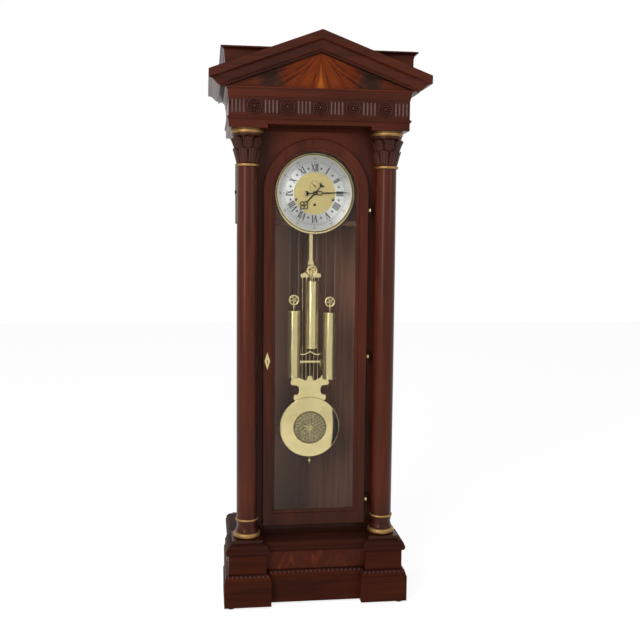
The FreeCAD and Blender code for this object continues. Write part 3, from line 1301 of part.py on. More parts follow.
def escape_wheel():
    """Escape arbor with its pinion and a wheel of raked teeth; the seconds hand sits on its front end."""
    towards = mesh_turn(0, Z_SECONDS, X_THIRD, Z_THIRD)
    pinion = pinion_at(0, Z_SECONDS, ESCAPE_MODULE, towards, Y_THIRD_WHEEL)
    points = []
    pitch = 360.0 / ESCAPE_TEETH
    root = ESCAPE_RADIUS * 0.84
    for count in range(ESCAPE_TEETH):
        points.append(polar(0, Z_SECONDS, root, pitch * count))
        points.append(polar(0, Z_SECONDS, ESCAPE_RADIUS, pitch * (count + 0.72)))
        points.append(polar(0, Z_SECONDS, ESCAPE_RADIUS, pitch * (count + 0.78)))
    y1 = Y_ESCAPE_WHEEL + WHEEL_THICKNESS
    wheel = plate(points, Y_ESCAPE_WHEEL, y1)
    radius = TRAIN_ARBOR_RADIUS
    wheel = crossed_out(wheel, 0, Z_SECONDS, radius + 6, root - 3, 4, Y_ESCAPE_WHEEL, y1)
    front = Y_SECONDS_HAND - 0.5
    return train_arbor(0, Z_SECONDS, radius, front, Y_ESCAPE_WHEEL, wheel, pinion)


def pallet_anchor():
    """Anchor over the escape wheel, its arbor, and the crutch whose fork holds the pendulum rod."""
    tip_x, tip_z = polar(0, Z_SECONDS, ESCAPE_RADIUS + PALLET_GAP, PALLET_SPREAD)
    shoulder = Z_PIVOT + 4
    arms = [(-tip_x, tip_z), (-tip_x - 4, tip_z + 1), (-12, shoulder, -0.2), (12, shoulder)]
    arms += [(tip_x + 4, tip_z + 1), (tip_x, tip_z), (8, Z_PIVOT - 4, 0.2), (-8, Z_PIVOT - 4)]
    anchor = plate(arms, Y_ESCAPE_WHEEL - 0.5, Y_ESCAPE_WHEEL + WHEEL_THICKNESS + 0.5)
    crutch_y = Y_BACK_PLATE + PLATE_THICKNESS + 4
    arbor = pin_y(0, Z_PIVOT, PALLET_ARBOR_RADIUS, Y_FRONT_PLATE - PLATE_THICKNESS, crutch_y + 3)
    low = Z_PIVOT - CRUTCH_LENGTH
    rod = box(-2.5, 2.5, crutch_y, crutch_y + 3, low, Z_PIVOT + 4)
    inner = ROD_WIDTH / 2 + RUN_GAP
    fork_back = Y_PENDULUM + PENDULUM_PLATE
    pieces = [rod, box(-inner - 3, inner + 3, crutch_y, crutch_y + 3, low, low + 6)]
    for side in (-inner - 3, inner):
        pieces.append(box(side, side + 3, crutch_y, fork_back, low, low + 6))
    return joined(arbor, anchor, *pieces)


def seat_board():
    """Board that carries the movement on two bearers, with slots and holes for the cables."""
    back = Y_SEAT + SEAT_DEPTH
    under = Z_SEAT - SEAT_BOARD
    board = box(-X_TRUNK_INNER, X_TRUNK_INNER, Y_SEAT, back, under, Z_SEAT)
    holes = []
    for x, z in DRUM_CENTRES:
        for run, radius in ((CABLE_RUN, CABLE_HOLE_RADIUS), (-CABLE_RUN, CABLE_RADIUS + SEAT_GAP)):
            holes.append(pin_z(x + run, Y_WEIGHT, radius, under - 1, Z_SEAT + 1))
    bearer = box(X_TRUNK_INNER - BEARER, X_TRUNK_INNER, Y_SEAT, back, under - BEARER, under)
    return [cut(board, *holes), bearer, mirrored(bearer)]


# Weights


def pulley_level(index):
    """Height of a pulley's pin as the clock is part run down."""
    return Z_SEAT - PULLEY_DROPS[index]


def pulley(index):
    """Spoked pulley with a groove for the cable."""
    x, z = DRUM_CENTRES[index][0], pulley_level(index)
    half = PULLEY_WIDTH / 2
    bore = PULLEY_PIN_RADIUS + RUN_GAP
    low = CABLE_RUN - CABLE_RADIUS - SEAT_GAP
    slot, mouth = CABLE_RADIUS + SEAT_GAP, half - 1.2
    outline = [(bore, -half), (PULLEY_RADIUS, -half), (PULLEY_RADIUS, -mouth), (low, -slot), (low, slot)]
    outline += [(PULLEY_RADIUS, mouth), (PULLEY_RADIUS, half), (bore, half)]
    wheel = spun([(r, Y_WEIGHT + y) for r, y in outline], x, z)
    front, back = Y_WEIGHT - half, Y_WEIGHT + half
    return crossed_out(wheel, x, z, bore + 3, low - PULLEY_RIM, PULLEY_SPOKES, front, back)


def weight(index):
    """Brass weight: shell, two end caps, and the stirrup whose pin carries the pulley."""
    x, pin_level = DRUM_CENTRES[index][0], pulley_level(index)
    top = pin_level - WEIGHT_HANG
    low = top - WEIGHT_LENGTH
    cap = WEIGHT_CAP_HEIGHT
    lip = WEIGHT_RADIUS + WEIGHT_CAP_LIP
    shell = pin_z(x, Y_WEIGHT, WEIGHT_RADIUS, low + cap, top - cap)
    edge = [(0, top - cap), (lip, top - cap), (lip, top - 3, 0.4), (lip - 3, top), (0, top)]
    upper = turned(edge, x, Y_WEIGHT)
    edge = [(0, low), (lip - 3, low, 0.4), (lip, low + 3), (lip, low + cap), (0, low + cap)]
    lower = turned(edge, x, Y_WEIGHT)
    half = PULLEY_WIDTH / 2 + SEAT_GAP + 0.2
    outer = half + STIRRUP_STRAP
    yoke_top = pin_level - PULLEY_RADIUS - 3
    yoke_low = yoke_top - 5
    wide = STIRRUP_WIDTH / 2
    parts = [pin_z(x, Y_WEIGHT, 3.0, top, yoke_low)]
    parts.append(box(x - wide, x + wide, Y_WEIGHT - outer, Y_WEIGHT + outer, yoke_low, yoke_top))
    for y0 in (Y_WEIGHT - outer, Y_WEIGHT + half):
        parts.append(box(x - wide, x + wide, y0, y0 + STIRRUP_STRAP, yoke_top, pin_level))
        parts.append(pin_y(x, pin_level, wide, y0, y0 + STIRRUP_STRAP))
    pin = pin_y(x, pin_level, PULLEY_PIN_RADIUS, Y_WEIGHT - outer - 2, Y_WEIGHT + outer + 2)
    return [shell, upper, lower, joined(pin, *parts)]


def cable(index):
    """Steel cable from the drum, under the pulley and up to its ferrule on the seat board."""
    x, drum_level = DRUM_CENTRES[index]
    level = pulley_level(index)
    right, left = x + CABLE_RUN, x - CABLE_RUN
    start, down = V(right, Y_WEIGHT, drum_level), V(right, Y_WEIGHT, level)
    under, back = V(x, Y_WEIGHT, level - CABLE_RUN), V(left, Y_WEIGHT, level)
    end = V(left, Y_WEIGHT, Z_SEAT + FERRULE_HEIGHT)
    loop = Part.Arc(down, under, back).toShape()
    path = Part.Wire([Part.makeLine(start, down), loop, Part.makeLine(back, end)])
    section = Part.Wire([Part.makeCircle(CABLE_RADIUS, start, V(0, 0, -1))])
    tube = path.makePipeShell([section], True, False)
    ferrule = pin_z(left, Y_WEIGHT, 3 * CABLE_RADIUS, Z_SEAT, Z_SEAT + FERRULE_HEIGHT)
    return joined(ferrule, tube)


# Pendulum


Z_PENDULUM_CROWN = Z_PIVOT - CROWN_DROP
PLATE_FRONT = Y_PENDULUM - PENDULUM_PLATE / 2
PLATE_BACK = Y_PENDULUM + PENDULUM_PLATE / 2


def pendulum_rod():
    """Flat rod hung by an eye on the suspension pin."""
    half = ROD_WIDTH / 2
    strip = box(-half, half, PLATE_FRONT, PLATE_BACK, Z_PENDULUM_CROWN, Z_PIVOT)
    eye = joined(strip, pin_y(0, Z_PIVOT, half, PLATE_FRONT, PLATE_BACK))
    return cut(eye, pin_y(0, Z_PIVOT, SUSPENSION_PIN_RADIUS + RUN_GAP, PLATE_FRONT - 1, PLATE_BACK + 1))


def lyre_crown():
    """Flared ornament under the rod that holds the strings' upper ends."""
    half, neck = CROWN_WIDTH / 2, ROD_WIDTH / 2 + 2
    top = Z_PENDULUM_CROWN
    low = top - CROWN_HEIGHT
    end = 17.0
    knee = (half - 9, low + end)
    throat = (neck + 6, top - 18)
    right = [(half, low), (half, low + end), (*knee, 0.3), throat, (neck, top)]
    left = [(-neck, top), (-throat[0], throat[1], 0.3), (-knee[0], knee[1])]
    left += [(-half, low + end), (-half, low)]
    return plate(right + left, PLATE_FRONT - 1, PLATE_BACK + 5)


def lyre_arm():
    """Right arm of the lyre: a wave from the plate past the bar to the outturned tip."""
    width = 7.0
    low, high = Z_BOB + LYRE_ARM_RISE, Z_BOB + LYRE_TIP_RISE
    steps = 16
    inner, outer = [], []
    for step in range(steps + 1):
        share = step / steps
        x = LYRE_SPREAD + LYRE_WAVE * math.cos(2 * math.pi * share)
        inner.append((x - width / 2, low + (high - low) * share))
        outer.append((x + width / 2, low + (high - low) * share))
    return plate(outer + list(reversed(inner)), PLATE_FRONT, PLATE_BACK)


def lyre_swag():
    """Two hanging loops between the lyre's arms."""
    level = Z_BOB + SWAG_RISE
    width = 5.0
    span = LYRE_SPREAD + LYRE_WAVE / 2
    steps = 20
    upper, lower = [], []
    for step in range(steps + 1):
        x = -span + 2 * span * step / steps
        sag = SWAG_SAG * abs(math.sin(math.pi * x / span))
        upper.append((x, level - sag + width / 2))
        lower.append((x, level - sag - width / 2))
    return plate(lower + list(reversed(upper)), PLATE_FRONT, PLATE_BACK)


def lyre_plate_points():
    """Right half outline of the scrolled plate over the bob, from the bottom up."""
    waist = Z_BOB + LYRE_WAIST_RISE
    return [
        (16, Z_BOB - BOB_BOSS_RADIUS - 2),
        (16, Z_BOB + 116),
        (61, waist - 50, -0.5),
        (74, waist - 32, -0.7),
        (61, waist - 22, 0.3),
        (50, waist, 0.3),
        (59, waist + 22),
        (73, waist + 24, -0.8),
        (84, waist + 46, -0.8),
        (72, waist + 58),
        (54, waist + 72, 0.4),
        (34, waist + 52, 0.3),
        (14, waist + 46),
        (9, waist + 66),
    ]


def lyre_plate():
    """Scrolled plate, arms, bar with its two roundels, and the swag, sawn from one sheet."""
    right = lyre_plate_points()
    left = []
    for index in range(len(right) - 1, -1, -1):
        bulge = right[index - 1][2] if index and len(right[index - 1]) > 2 else 0.0
        left.append((-right[index][0], right[index][1], bulge))
    base = plate(right + left, PLATE_FRONT, PLATE_BACK)
    arm = lyre_arm()
    bar_level = Z_BOB + LYRE_BAR_RISE
    half = LYRE_BAR_WIDTH / 2
    reach = LYRE_SPREAD - LYRE_WAVE / 2
    bar = box(-reach, reach, PLATE_FRONT, PLATE_BACK, bar_level - half, bar_level + half)
    proud = PLATE_FRONT - 1.5
    discs = [pin_y(x, bar_level, LYRE_DISC_RADIUS, proud, PLATE_BACK) for x in (-reach, reach)]
    return joined(base, arm, mirrored(arm), bar, *discs, lyre_swag())


def lyre_strings():
    """Round rods behind the lyre, from the crown down to a rail on the back of the plate."""
    low, high = Z_BOB + LYRE_WAIST_RISE + 30, Z_PENDULUM_CROWN - CROWN_HEIGHT
    half = CROWN_WIDTH / 2
    strings = [box(-half, half, PLATE_BACK, PLATE_BACK + 2 * STRING_RADIUS + 1, low - 6, low)]
    for count in range(STRING_COUNT):
        x = (count - (STRING_COUNT - 1) / 2) * STRING_PITCH
        strings.append(pin_z(x, PLATE_BACK + SEAT_GAP + STRING_RADIUS, STRING_RADIUS, low, high))
    return strings


Y_BOB_RIM = PLATE_FRONT - 1 - BOB_RIM
Y_BOB_FRONT = Y_BOB_RIM - BOB_DOME


def bob():
    """Domed brass bob with a rolled rim and the boss that joins it to the lyre plate."""
    edge = BOB_RADIUS
    bow = -BOB_DOME / edge
    rim_back = Y_BOB_RIM + BOB_RIM
    outline = [(0, Y_BOB_FRONT, bow), (edge - 4, Y_BOB_RIM, -0.4), (edge, Y_BOB_RIM + BOB_RIM / 2, -0.4)]
    outline += [(edge - 4, rim_back), (edge - 8, rim_back, -bow), (0, Y_BOB_FRONT + BOB_SHELL)]
    dish = spun(outline, 0, Z_BOB)
    return joined(dish, pin_y(0, Z_BOB, BOB_BOSS_RADIUS, Y_BOB_FRONT + 1, PLATE_FRONT))


def medallion():
    """Round ornament on the middle of the bob."""
    edge = MEDALLION_RADIUS
    seat = Y_BOB_FRONT + BOB_DOME * (edge / BOB_RADIUS) ** 2
    front = Y_BOB_FRONT - MEDALLION_THICKNESS
    outline = [(0, front), (edge - 6, front + 1), (edge - 5, front), (edge - 1, front), (edge, seat)]
    disc = spun(outline + [(0, Y_BOB_FRONT + 1)], 0, Z_BOB)
    return cut(disc, bob())


def rating_nut():
    """Screw below the bob with its knurled nut."""
    low = Z_BOB - BOB_RADIUS
    screw = pin_z(0, Y_PENDULUM, PENDULUM_PLATE / 2, low - 34, Z_BOB - BOB_BOSS_RADIUS - 2)
    nut = pin_z(0, Y_PENDULUM, 9, low - 20, low - 12)
    return joined(screw, nut)


# Chime


def chime():
    """Rods hung from a block on the back board."""
    back = Y_INNER_BACK
    top = Z_SEAT + CHIME_BLOCK_RISE
    low = top - CHIME_BLOCK_HEIGHT
    half = CHIME_RODS * CHIME_PITCH / 2
    front = back - CHIME_BLOCK_DEPTH
    block = box(-half, half, front, back, low, top)
    pieces = [block]
    for count in range(CHIME_RODS):
        x = (count - (CHIME_RODS - 1) / 2) * CHIME_PITCH
        length = CHIME_LONGEST - CHIME_STEP * count
        pieces.append(pin_z(x, front + CHIME_ROD_INSET, CHIME_ROD_RADIUS, low - length, low))
    return pieces


def main():
    os.makedirs("parts", exist_ok=True)
    save("levelling_feet", *levelling_feet())
    save("base_plinth", *plinth_boards())
    save("plinth_moulding", plinth_moulding())
    save("pedestal", *pedestal_boards())
    save("pedestal_panel", pedestal_panel())
    save("pedestal_cap", pedestal_cap())
    save("column_left", *column(-X_COLUMN))
    save("column_right", *column(X_COLUMN))
    save("column_capitals", capital(-X_COLUMN), capital(X_COLUMN))
    save("gilt_rings", *gilt_rings())
    save("side_panel_right", *side_panel())
    save("side_panel_left", *[mirrored(piece) for piece in side_panel()])
    save("side_door_right", *side_door())
    save("side_door_left", *[mirrored(piece) for piece in side_door()])
    save("front_frame", front_frame())
    save("back_panel", *back_panel())
    save("architrave", *architrave())
    save("frieze", *frieze())
    save("frieze_rosettes", *rosettes())
    right_cornice = [raking_cornice(), side_cornice()]
    save("cornice", bed_moulding(), *right_cornice, *[mirrored(piece) for piece in right_cornice])
    save("tympanum", *tympanum())
    save("attic", *attic())
    save("door_frame", door_frame())
    save("glazing_beads", *glazing_beads())
    save("door_glass", door_glass())
    save("escutcheon", escutcheon())
    save("door_lock", lock_case())
    save("lock_bolt", lock_bolt())
    save("door_hinge_leaves", *door_hinge_leaves())
    save("case_hinge_leaves", *case_hinge_leaves())
    save("dial_plate", dial_plate())
    save("chapter_ring", chapter_ring())
    save("dial_bezel", bezel())
    save("minute_hand", minute_hand())
    save("hour_hand", hour_hand())
    save("seconds_hand", seconds_hand())
    save("movement_plates", *movement_plates())
    save("great_wheel", great_wheel())
    save("centre_wheel", centre_wheel())
    save("third_wheel", third_wheel())
    save("escape_wheel", escape_wheel())
    save("pallet_anchor", pallet_anchor())
    save("seat_board", *seat_board())
    for index, side in enumerate(SIDES):
        x, z = DRUM_CENTRES[index]
        save("cable_drum_" + side, drum(x, z, side != "centre"))
        save("pulley_" + side, pulley(index))
        save("weight_" + side, *weight(index))
        save("cable_" + side, cable(index))
    save("pendulum_rod", pendulum_rod())
    save("pendulum_lyre", lyre_crown(), lyre_plate(), *lyre_strings())
    save("pendulum_bob", bob(), rating_nut())
    save("bob_medallion", medallion())
    save("chime_rods", *chime())


main()
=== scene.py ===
"""Looks of a longcase clock: lacquered mahogany case, gilt rings, brass works and a silvered dial."""

import functools
import json
import math

import bpy
import numpy as np
from mathutils import Matrix, Vector

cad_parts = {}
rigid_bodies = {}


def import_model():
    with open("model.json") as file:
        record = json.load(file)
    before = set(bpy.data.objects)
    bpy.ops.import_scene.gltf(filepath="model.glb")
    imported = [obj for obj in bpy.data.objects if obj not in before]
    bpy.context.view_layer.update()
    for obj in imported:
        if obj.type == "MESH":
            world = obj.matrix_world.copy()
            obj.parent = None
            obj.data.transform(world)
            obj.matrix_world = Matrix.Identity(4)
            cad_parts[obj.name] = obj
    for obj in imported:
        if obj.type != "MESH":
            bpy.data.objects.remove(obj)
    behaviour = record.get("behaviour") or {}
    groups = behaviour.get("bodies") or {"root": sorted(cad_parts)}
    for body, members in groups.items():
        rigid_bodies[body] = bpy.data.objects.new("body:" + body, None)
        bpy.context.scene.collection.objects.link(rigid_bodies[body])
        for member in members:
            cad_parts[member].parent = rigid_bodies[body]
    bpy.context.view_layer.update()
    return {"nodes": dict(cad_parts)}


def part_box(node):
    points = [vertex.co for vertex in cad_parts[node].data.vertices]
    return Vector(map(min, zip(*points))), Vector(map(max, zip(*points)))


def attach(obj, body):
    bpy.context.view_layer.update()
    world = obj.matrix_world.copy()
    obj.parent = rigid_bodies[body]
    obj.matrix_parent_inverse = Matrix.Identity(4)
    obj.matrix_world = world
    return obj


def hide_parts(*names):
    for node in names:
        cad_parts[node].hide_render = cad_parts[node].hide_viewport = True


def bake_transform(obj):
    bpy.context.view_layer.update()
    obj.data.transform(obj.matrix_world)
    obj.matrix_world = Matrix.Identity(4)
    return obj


bl_info = {
    "name": "Longcase Clock",
    "version": (1, 0, 0),
    "blender": (4, 5, 0),
    "location": "View3D > Sidebar > Clock",
    "description": "Finishes and carved pieces of a longcase clock",
    "category": "Object",
}

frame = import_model()
NODES = frame["nodes"]
SIDES = ("left", "centre", "right")
# Axis of the columns, front to back
COLUMN_Y = -0.120
# Rise and half width of the triangle of veneer in the pediment
PANEL_SIZE = (0.1457, 0.395)
# How far the plinth carving stands out from the dado at its foot, and how much less it does at its head
CARVING_OUT, CARVING_FALL = 0.0125, 0.0105
# Points along each leaf of the plinth carving
LEAF_STEPS = 10
# Gap between the dial's drawing and the plate behind it
DIAL_LIFT = 0.00025
SECONDS_MIDDLE = (0.0, 0.0, 1.830)
STAR_RING, FIGURE_RING, FIGURE_SIZE = 0.110, 0.1495, 0.0135
# Rings of marks as (count, inner radius, outer radius, width)
MINUTE_MARKS = ((60, 0.1335, 0.1385, 0.0010), (12, 0.1325, 0.1400, 0.0026))
SECOND_MARKS = (12, 0.0205, 0.0238, 0.0008)
# Fine circles of the minute track and the seconds ring, as (outer radius, inner radius)
MINUTE_CIRCLES = ((0.1331, 0.1324), (0.1391, 0.1384))
SECOND_CIRCLES = ((0.0240, 0.0233), (0.0207, 0.0202))
NUMERALS = ("I", "II", "III", "IIII", "V", "VI", "VII", "VIII", "IX", "X", "XI", "XII")
# Strokes of a letter as (foot, head, share of the full width), and the letter's own width, in stroke widths
LETTERS = {
    "I": ([(0.0, 0.0, 1.0)], 1.35),
    "V": ([(0.0, -1.2, 1.0), (0.0, 1.25, 0.5)], 3.1),
    "X": ([(1.2, -1.2, 1.0), (-1.2, 1.2, 0.5)], 3.2),
}
STROKE = 0.0055
CABLE_RADIUS = 0.0008
# Depth of a pulley's groove, from the outer side of its cable
GROOVE_DEPTH = 2.6 * CABLE_RADIUS
# Drop from a pulley's pin to the top of its weight, and to the yoke of its stirrup
WEIGHT_HANG, YOKE_DROP = 0.047, 0.0265
# Section of a weight's end cap: how far each ring lies in from the side, and from the end
CAP_INSET = np.array([0.004, 0.0012, 0.0, 0.0, 0.0004, 0.0016, 0.0016, 0.0008, 0.0008, 0.0008])
CAP_RISE = np.array([0.0, 0.0005, 0.002, 0.0072, 0.0085, 0.0088, 0.0094, 0.0097, 0.0105, 0.013])
# Place and size of each lamp, and the point that they are aimed at
LAMPS = {
    "key": ((-2.2, -3.2, 3.9), (2.4, 2.0)),
    "window": ((-2.3, -3.5, 2.0), (0.6, 2.2)),
    "fill": ((3.0, -2.8, 2.8), (1.6, 2.4)),
}
LAMP_AIM = (0, 0, 1.2)
FLOOR_HALF = 12.0
# Place of the camera, its turns in degrees, and its focal length in widths of the picture
EYE = (-0.479, -3.876, 1.622)
YAW, PITCH, ROLL = 7.52, -5.62, 0.54
FOCAL_SHARE, SENSOR_MM = 876 / 640, 36


def middle_of(node):
    """Middle of a node's box, in metres."""
    low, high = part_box(node)
    return (low + high) / 2


# Colours and sizes that a user may change


def linear(hex_value):
    """Linear colour of an sRGB hex value."""
    parts = np.array([int(hex_value[i : i + 2], 16) for i in (1, 3, 5)]) / 255
    return tuple(np.where(parts <= 0.04045, parts / 12.92, ((parts + 0.055) / 1.055) ** 2.4))


def colour(name, hex_value, description):
    """Colour property with an sRGB hex default."""
    return bpy.props.FloatVectorProperty(
        name=name, description=description, subtype="COLOR", size=3, min=0, max=1, default=linear(hex_value)
    )


def measure(name, default, description, unit="LENGTH"):
    """Number property with a unit."""
    return bpy.props.FloatProperty(name=name, description=description, default=default, unit=unit)


class ClockColours(bpy.types.PropertyGroup):
    """Colours of the clock's finishes."""

    wood_dark: colour("Mahogany, dark", "#250d08", "Dark grain lines of the lacquered mahogany")
    wood_mid: colour("Mahogany", "#451a0f", "Body colour of the lacquered mahogany")
    wood_light: colour("Mahogany, light", "#5c2614", "Light grain of the lacquered mahogany")
    flame_light: colour("Flame veneer, light", "#8a4216", "Light feathers of the flame veneer")
    gilding: colour("Gilding", "#98764a", "Gilded rings of the columns")
    brass: colour("Brass", "#d2c38c", "Polished brass of the weights, bob and bezel")
    silver: colour("Silvering", "#b3b4b0", "Silvered chapter ring")
    dial_gold: colour("Dial centre", "#a99b68", "Matt gilt centre of the dial")
    ink: colour("Dial black", "#1b1a18", "Numerals and hands")
    inside: colour("Inside", "#8f6148", "Boards inside the case, seen through the glass")
    # Dark aged brass of the case hinges; on the cable drums, seen through the winding holes, the dark is painted
    # shade
    aged_brass: colour("Aged brass", "#2b2318", "Hinge leaves on the case, and cable drums")
    # Painted highlight: the pale colour of the carving's high places
    worn: colour("Rubbed carving", "#86706c", "High places of the carving, rubbed pale")
    # Painted highlight: the pale lines down the hollows of the flutes
    wax: colour("Old wax", "#755d5a", "Hollows of the flutes")
    bronze: colour("Medallion bronze", "#8f8660", "Relief of the medallion")


class ClockSizes(bpy.types.PropertyGroup):
    """Sizes of the carved and drawn detail."""

    leaves: bpy.props.IntProperty(
        name="Capital leaves", description="Leaves in each tier of a capital", default=8, min=6
    )
    petals: bpy.props.IntProperty(
        name="Rosette petals", description="Petals of a frieze rosette", default=8, min=4
    )
    carving_pitch: measure("Carving pitch", 0.0195, "Length of one leaf of the plinth carving")
    fan_rise: measure("Fan rise", 0.152, "Height over the panel's foot of the point that the veneer's rays leave")
    flute_pitch: measure("Flute pitch", 0.0157, "Distance between the flutes of the frieze")
    flute_width: measure("Flute width", 0.007, "Width of a flute")
    flute_length: measure("Flute length", 0.055, "Length of a flute")
    numeral_inner: measure("Numeral foot", 0.096, "Radius of the feet of the hour numerals")
    numeral_outer: measure("Numeral head", 0.127, "Radius of the heads of the hour numerals")


class ClockLight(bpy.types.PropertyGroup):
    """Studio light."""

    key: measure("Key", 95.0, "Power of the large lamp at the front left", "POWER")
    window: measure("Window", 42.0, "Power of the tall narrow lamp at the left", "POWER")
    fill: measure("Fill", 25.0, "Power of the lamp at the front right", "POWER")
    ambient: measure("Ambient", 0.36, "Strength of the light from all round", "NONE")


# Node and mesh helpers


def add(tree, kind, inputs=(), **settings):
    """Add a shader node with its settings.

    inputs is a dict of sockets or the values of the first ones in order. A value may be an output to link, or a
    whole node, which is linked by its first output in use.
    """
    node = tree.nodes.new("ShaderNode" + kind)
    for key, value in settings.items():
        setattr(node, key, value)
    for socket, value in inputs.items() if isinstance(inputs, dict) else enumerate(inputs):
        if isinstance(value, bpy.types.Node):
            value = next(output for output in value.outputs if output.enabled)
        if isinstance(value, bpy.types.NodeSocket):
            tree.links.new(value, node.inputs[socket])
        else:
            node.inputs[socket].default_value = value
    return node


def blank_material(name):
    """New material without nodes but the Object coordinate; gives the material, its tree and that coordinate."""
    material = bpy.data.materials.new(name)
    material.use_nodes = True
    tree = material.node_tree
    tree.nodes.clear()
    place = add(tree, "TexCoord").outputs["Object"]
    return material, tree, place


def shade(tree, inputs):
    """Principled shader with these inputs, linked to the output."""
    add(tree, "OutputMaterial", {"Surface": add(tree, "BsdfPrincipled", inputs)})


def ramp(tree, factor, stops):
    """Colour ramp through (place, colour) stops."""
    node = add(tree, "ValToRGB", {"Fac": factor})
    elements = node.color_ramp.elements
    while len(elements) < len(stops):
        elements.new(0.5)
    for element, (place, tone) in zip(elements, stops):
        element.position = place
        element.color = (*tone, 1)
    return node


def figured(tree, place, scale, detail, **more):
    """Uneven figure of wood: a noise over a coordinate that is scaled along each axis, in features a metre."""
    place = add(tree, "Mapping", {"Vector": place, "Scale": scale})
    return add(tree, "TexNoise", {"Vector": place, "Scale": 1, "Detail": detail, **more})


def grain_scale(along, across_mm, along_mm):
    """Scale of a figure that is drawn out along the named axes."""
    return [1000 / (along_mm if axis in along else across_mm) for axis in "XYZ"]


def mixed(a, b, share):
    """Colour part of the way from a to b."""
    return tuple(np.array(a) * (1 - share) + np.array(b) * share)


def darkened(tone, share):
    """Colour part of the way to black."""
    return mixed(tone, (0, 0, 0), share)


def around(columns):
    """Angles of a full turn, without its end."""
    return np.linspace(0, 2 * np.pi, columns, endpoint=False)


def shell(grid, joined=False, foot=False, head=False):
    """Triangles over a grid of points: rows rise along a profile and columns run round or along it.

    joined ties the last column to the first; foot and head close the first and last row to their middle.
    """
    rows, columns = grid.shape[:2]
    span = columns if joined else columns - 1
    row, column = np.meshgrid(np.arange(rows - 1), np.arange(span), indexing="ij")
    a = row * columns + column
    b = row * columns + (column + 1) % columns
    halves = (np.stack([a, b, b + columns], -1), np.stack([a, b + columns, a + columns], -1))
    points = [grid.reshape(-1, grid.shape[-1])]
    faces = [half.reshape(-1, 3) for half in halves]
    ring = np.arange(columns)
    after = (ring + 1) % columns
    if foot:
        hub = np.full(columns, rows * columns)
        points.append(grid[0].mean(axis=0, keepdims=True))
        faces.append(np.stack([after, ring, hub], -1))
    if head:
        hub = np.full(columns, sum(len(part) for part in points))
        points.append(grid[-1].mean(axis=0, keepdims=True))
        start = (rows - 1) * columns
        faces.append(np.stack([start + ring, start + after, hub], -1))
    return np.concatenate(points), np.concatenate(faces)


def turned(x, y, radius, height, columns=64):
    """Surface turned about an upright axis: each row is a ring of its radius at its height."""
    angle = around(columns)
    ring = np.stack([np.cos(angle), np.sin(angle)], -1)
    flat = np.asarray(radius)[:, None, None] * ring[None] + (x, y)
    rise = np.broadcast_to(np.asarray(height)[:, None, None], (*flat.shape[:2], 1))
    return np.concatenate([flat, rise], -1)


def facing(across, rise, y):
    """Points on a face that looks to the front: across is x, rise is z, and y may differ from point to point."""
    return np.stack([across, np.broadcast_to(y, np.shape(across)), rise], -1)


def disc(middle, radius, angle, relief):
    """Disc that looks to the front: rows run from the rim to the middle, relief stands forward of its middle."""
    spread = np.asarray(radius)[:, None] * np.cos(angle)[None]
    rise = np.asarray(radius)[:, None] * np.sin(angle)[None]
    return facing(middle[0] + spread, middle[2] + rise, middle[1] - relief)


def spun(middle, outline):
    """Surface turned about an axis that looks to the front: each row is a ring of its radius at its depth."""
    radius, depth = np.transpose(outline)
    angle = around(48)
    return disc(middle, radius, angle, -depth[:, None] + 0 * angle[None])


def strut(start, end, wide, y, deep):
    """Straight bar across the front: a rounded rectangle carried from one (x, z) point to another.

    The section's two sides are cosine and sine, each to the power 0.4 with its sign kept; wide is the bar's half
    width at each row.
    """
    turn = around(16)
    across, depth = (np.sign(side) * np.abs(side) ** 0.4 for side in (np.cos(turn), np.sin(turn)))
    run = np.subtract(end, start)
    side = np.array([run[1], -run[0]]) / np.hypot(*run)
    rows = np.linspace(0, 1, len(wide))[:, None]
    half = np.asarray(wide)[:, None] * across
    x, z = (start[axis] + run[axis] * rows + side[axis] * half for axis in (0, 1))
    return shell(facing(x, z, y + deep * depth), True, True, True)


def leaf_share(angle, count, offset=0.0):
    """Place across a leaf, from -1 at one edge through 0 at the midrib to 1 at the other."""
    return 2 * np.mod(angle * count / (2 * np.pi) + offset, 1.0) - 1


def piece(name, points, faces, material, body, slot, smooth=True):
    """Mesh object at the origin from whole arrays of points and faces, riding on a body.

    A point of a carved surface has a fourth value: 0 in the hollows and 1 on the high places.
    """
    mesh = bpy.data.meshes.new(name)
    points = np.asarray(points)
    mesh.from_pydata(points[:, :3].tolist(), [], np.asarray(faces).tolist())
    mesh.polygons.foreach_set("use_smooth", np.full(len(mesh.polygons), smooth))
    mesh.materials.append(material)
    if points.shape[1] > 3:
        proud = mesh.attributes.new("proud", "FLOAT", "POINT")
        proud.data.foreach_set("value", points[:, 3].astype(np.float32))
    mesh.update()
    obj = bpy.data.objects.new(name, mesh)
    bpy.context.scene.collection.objects.link(obj)
    if body:
        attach(obj, body)
    return obj


def gather(parts):
    """Join (points, faces) arrays into one pair."""
    points, faces, start = [], [], 0
    for part_points, part_faces in parts:
        flat = np.asarray(part_points)
        flat = flat.reshape(-1, flat.shape[-1])
        points.append(flat)
        faces.append(np.asarray(part_faces) + start)
        start += len(flat)
    return np.concatenate(points), np.concatenate(faces)


def finish_nodes(material, *names):
    """Give CAD nodes a material."""
    for name in names:
        slots = NODES[name].data.materials
        slots.clear()
        slots.append(material)


# Dresses, which change a material's colour from place to place


def painted_in(tree, base, share, tone):
    """Colour that goes from base to a tone by a share."""
    return add(tree, "Mix", {"Factor": share, "A": base, "B": (*tone, 1)}, data_type="RGBA")


def by_distance(tree, base, away, near, far, tone):
    """Colour that is a tone up to one distance, and less and less of it from there to another."""
    return painted_in(tree, base, add(tree, "MapRange", (away, near, far, 1, 0)), tone)


def by_relief(tree, base, hollow, high):
    """Colour times one share in the hollows of a carved piece and another on its high places."""
    proud = add(tree, "Attribute", attribute_name="proud").outputs["Fac"]
    share = add(tree, "MapRange", (proud, 0, 1, hollow, high))
    return add(tree, "VectorMath", {0: base, "Scale": share}, operation="SCALE")


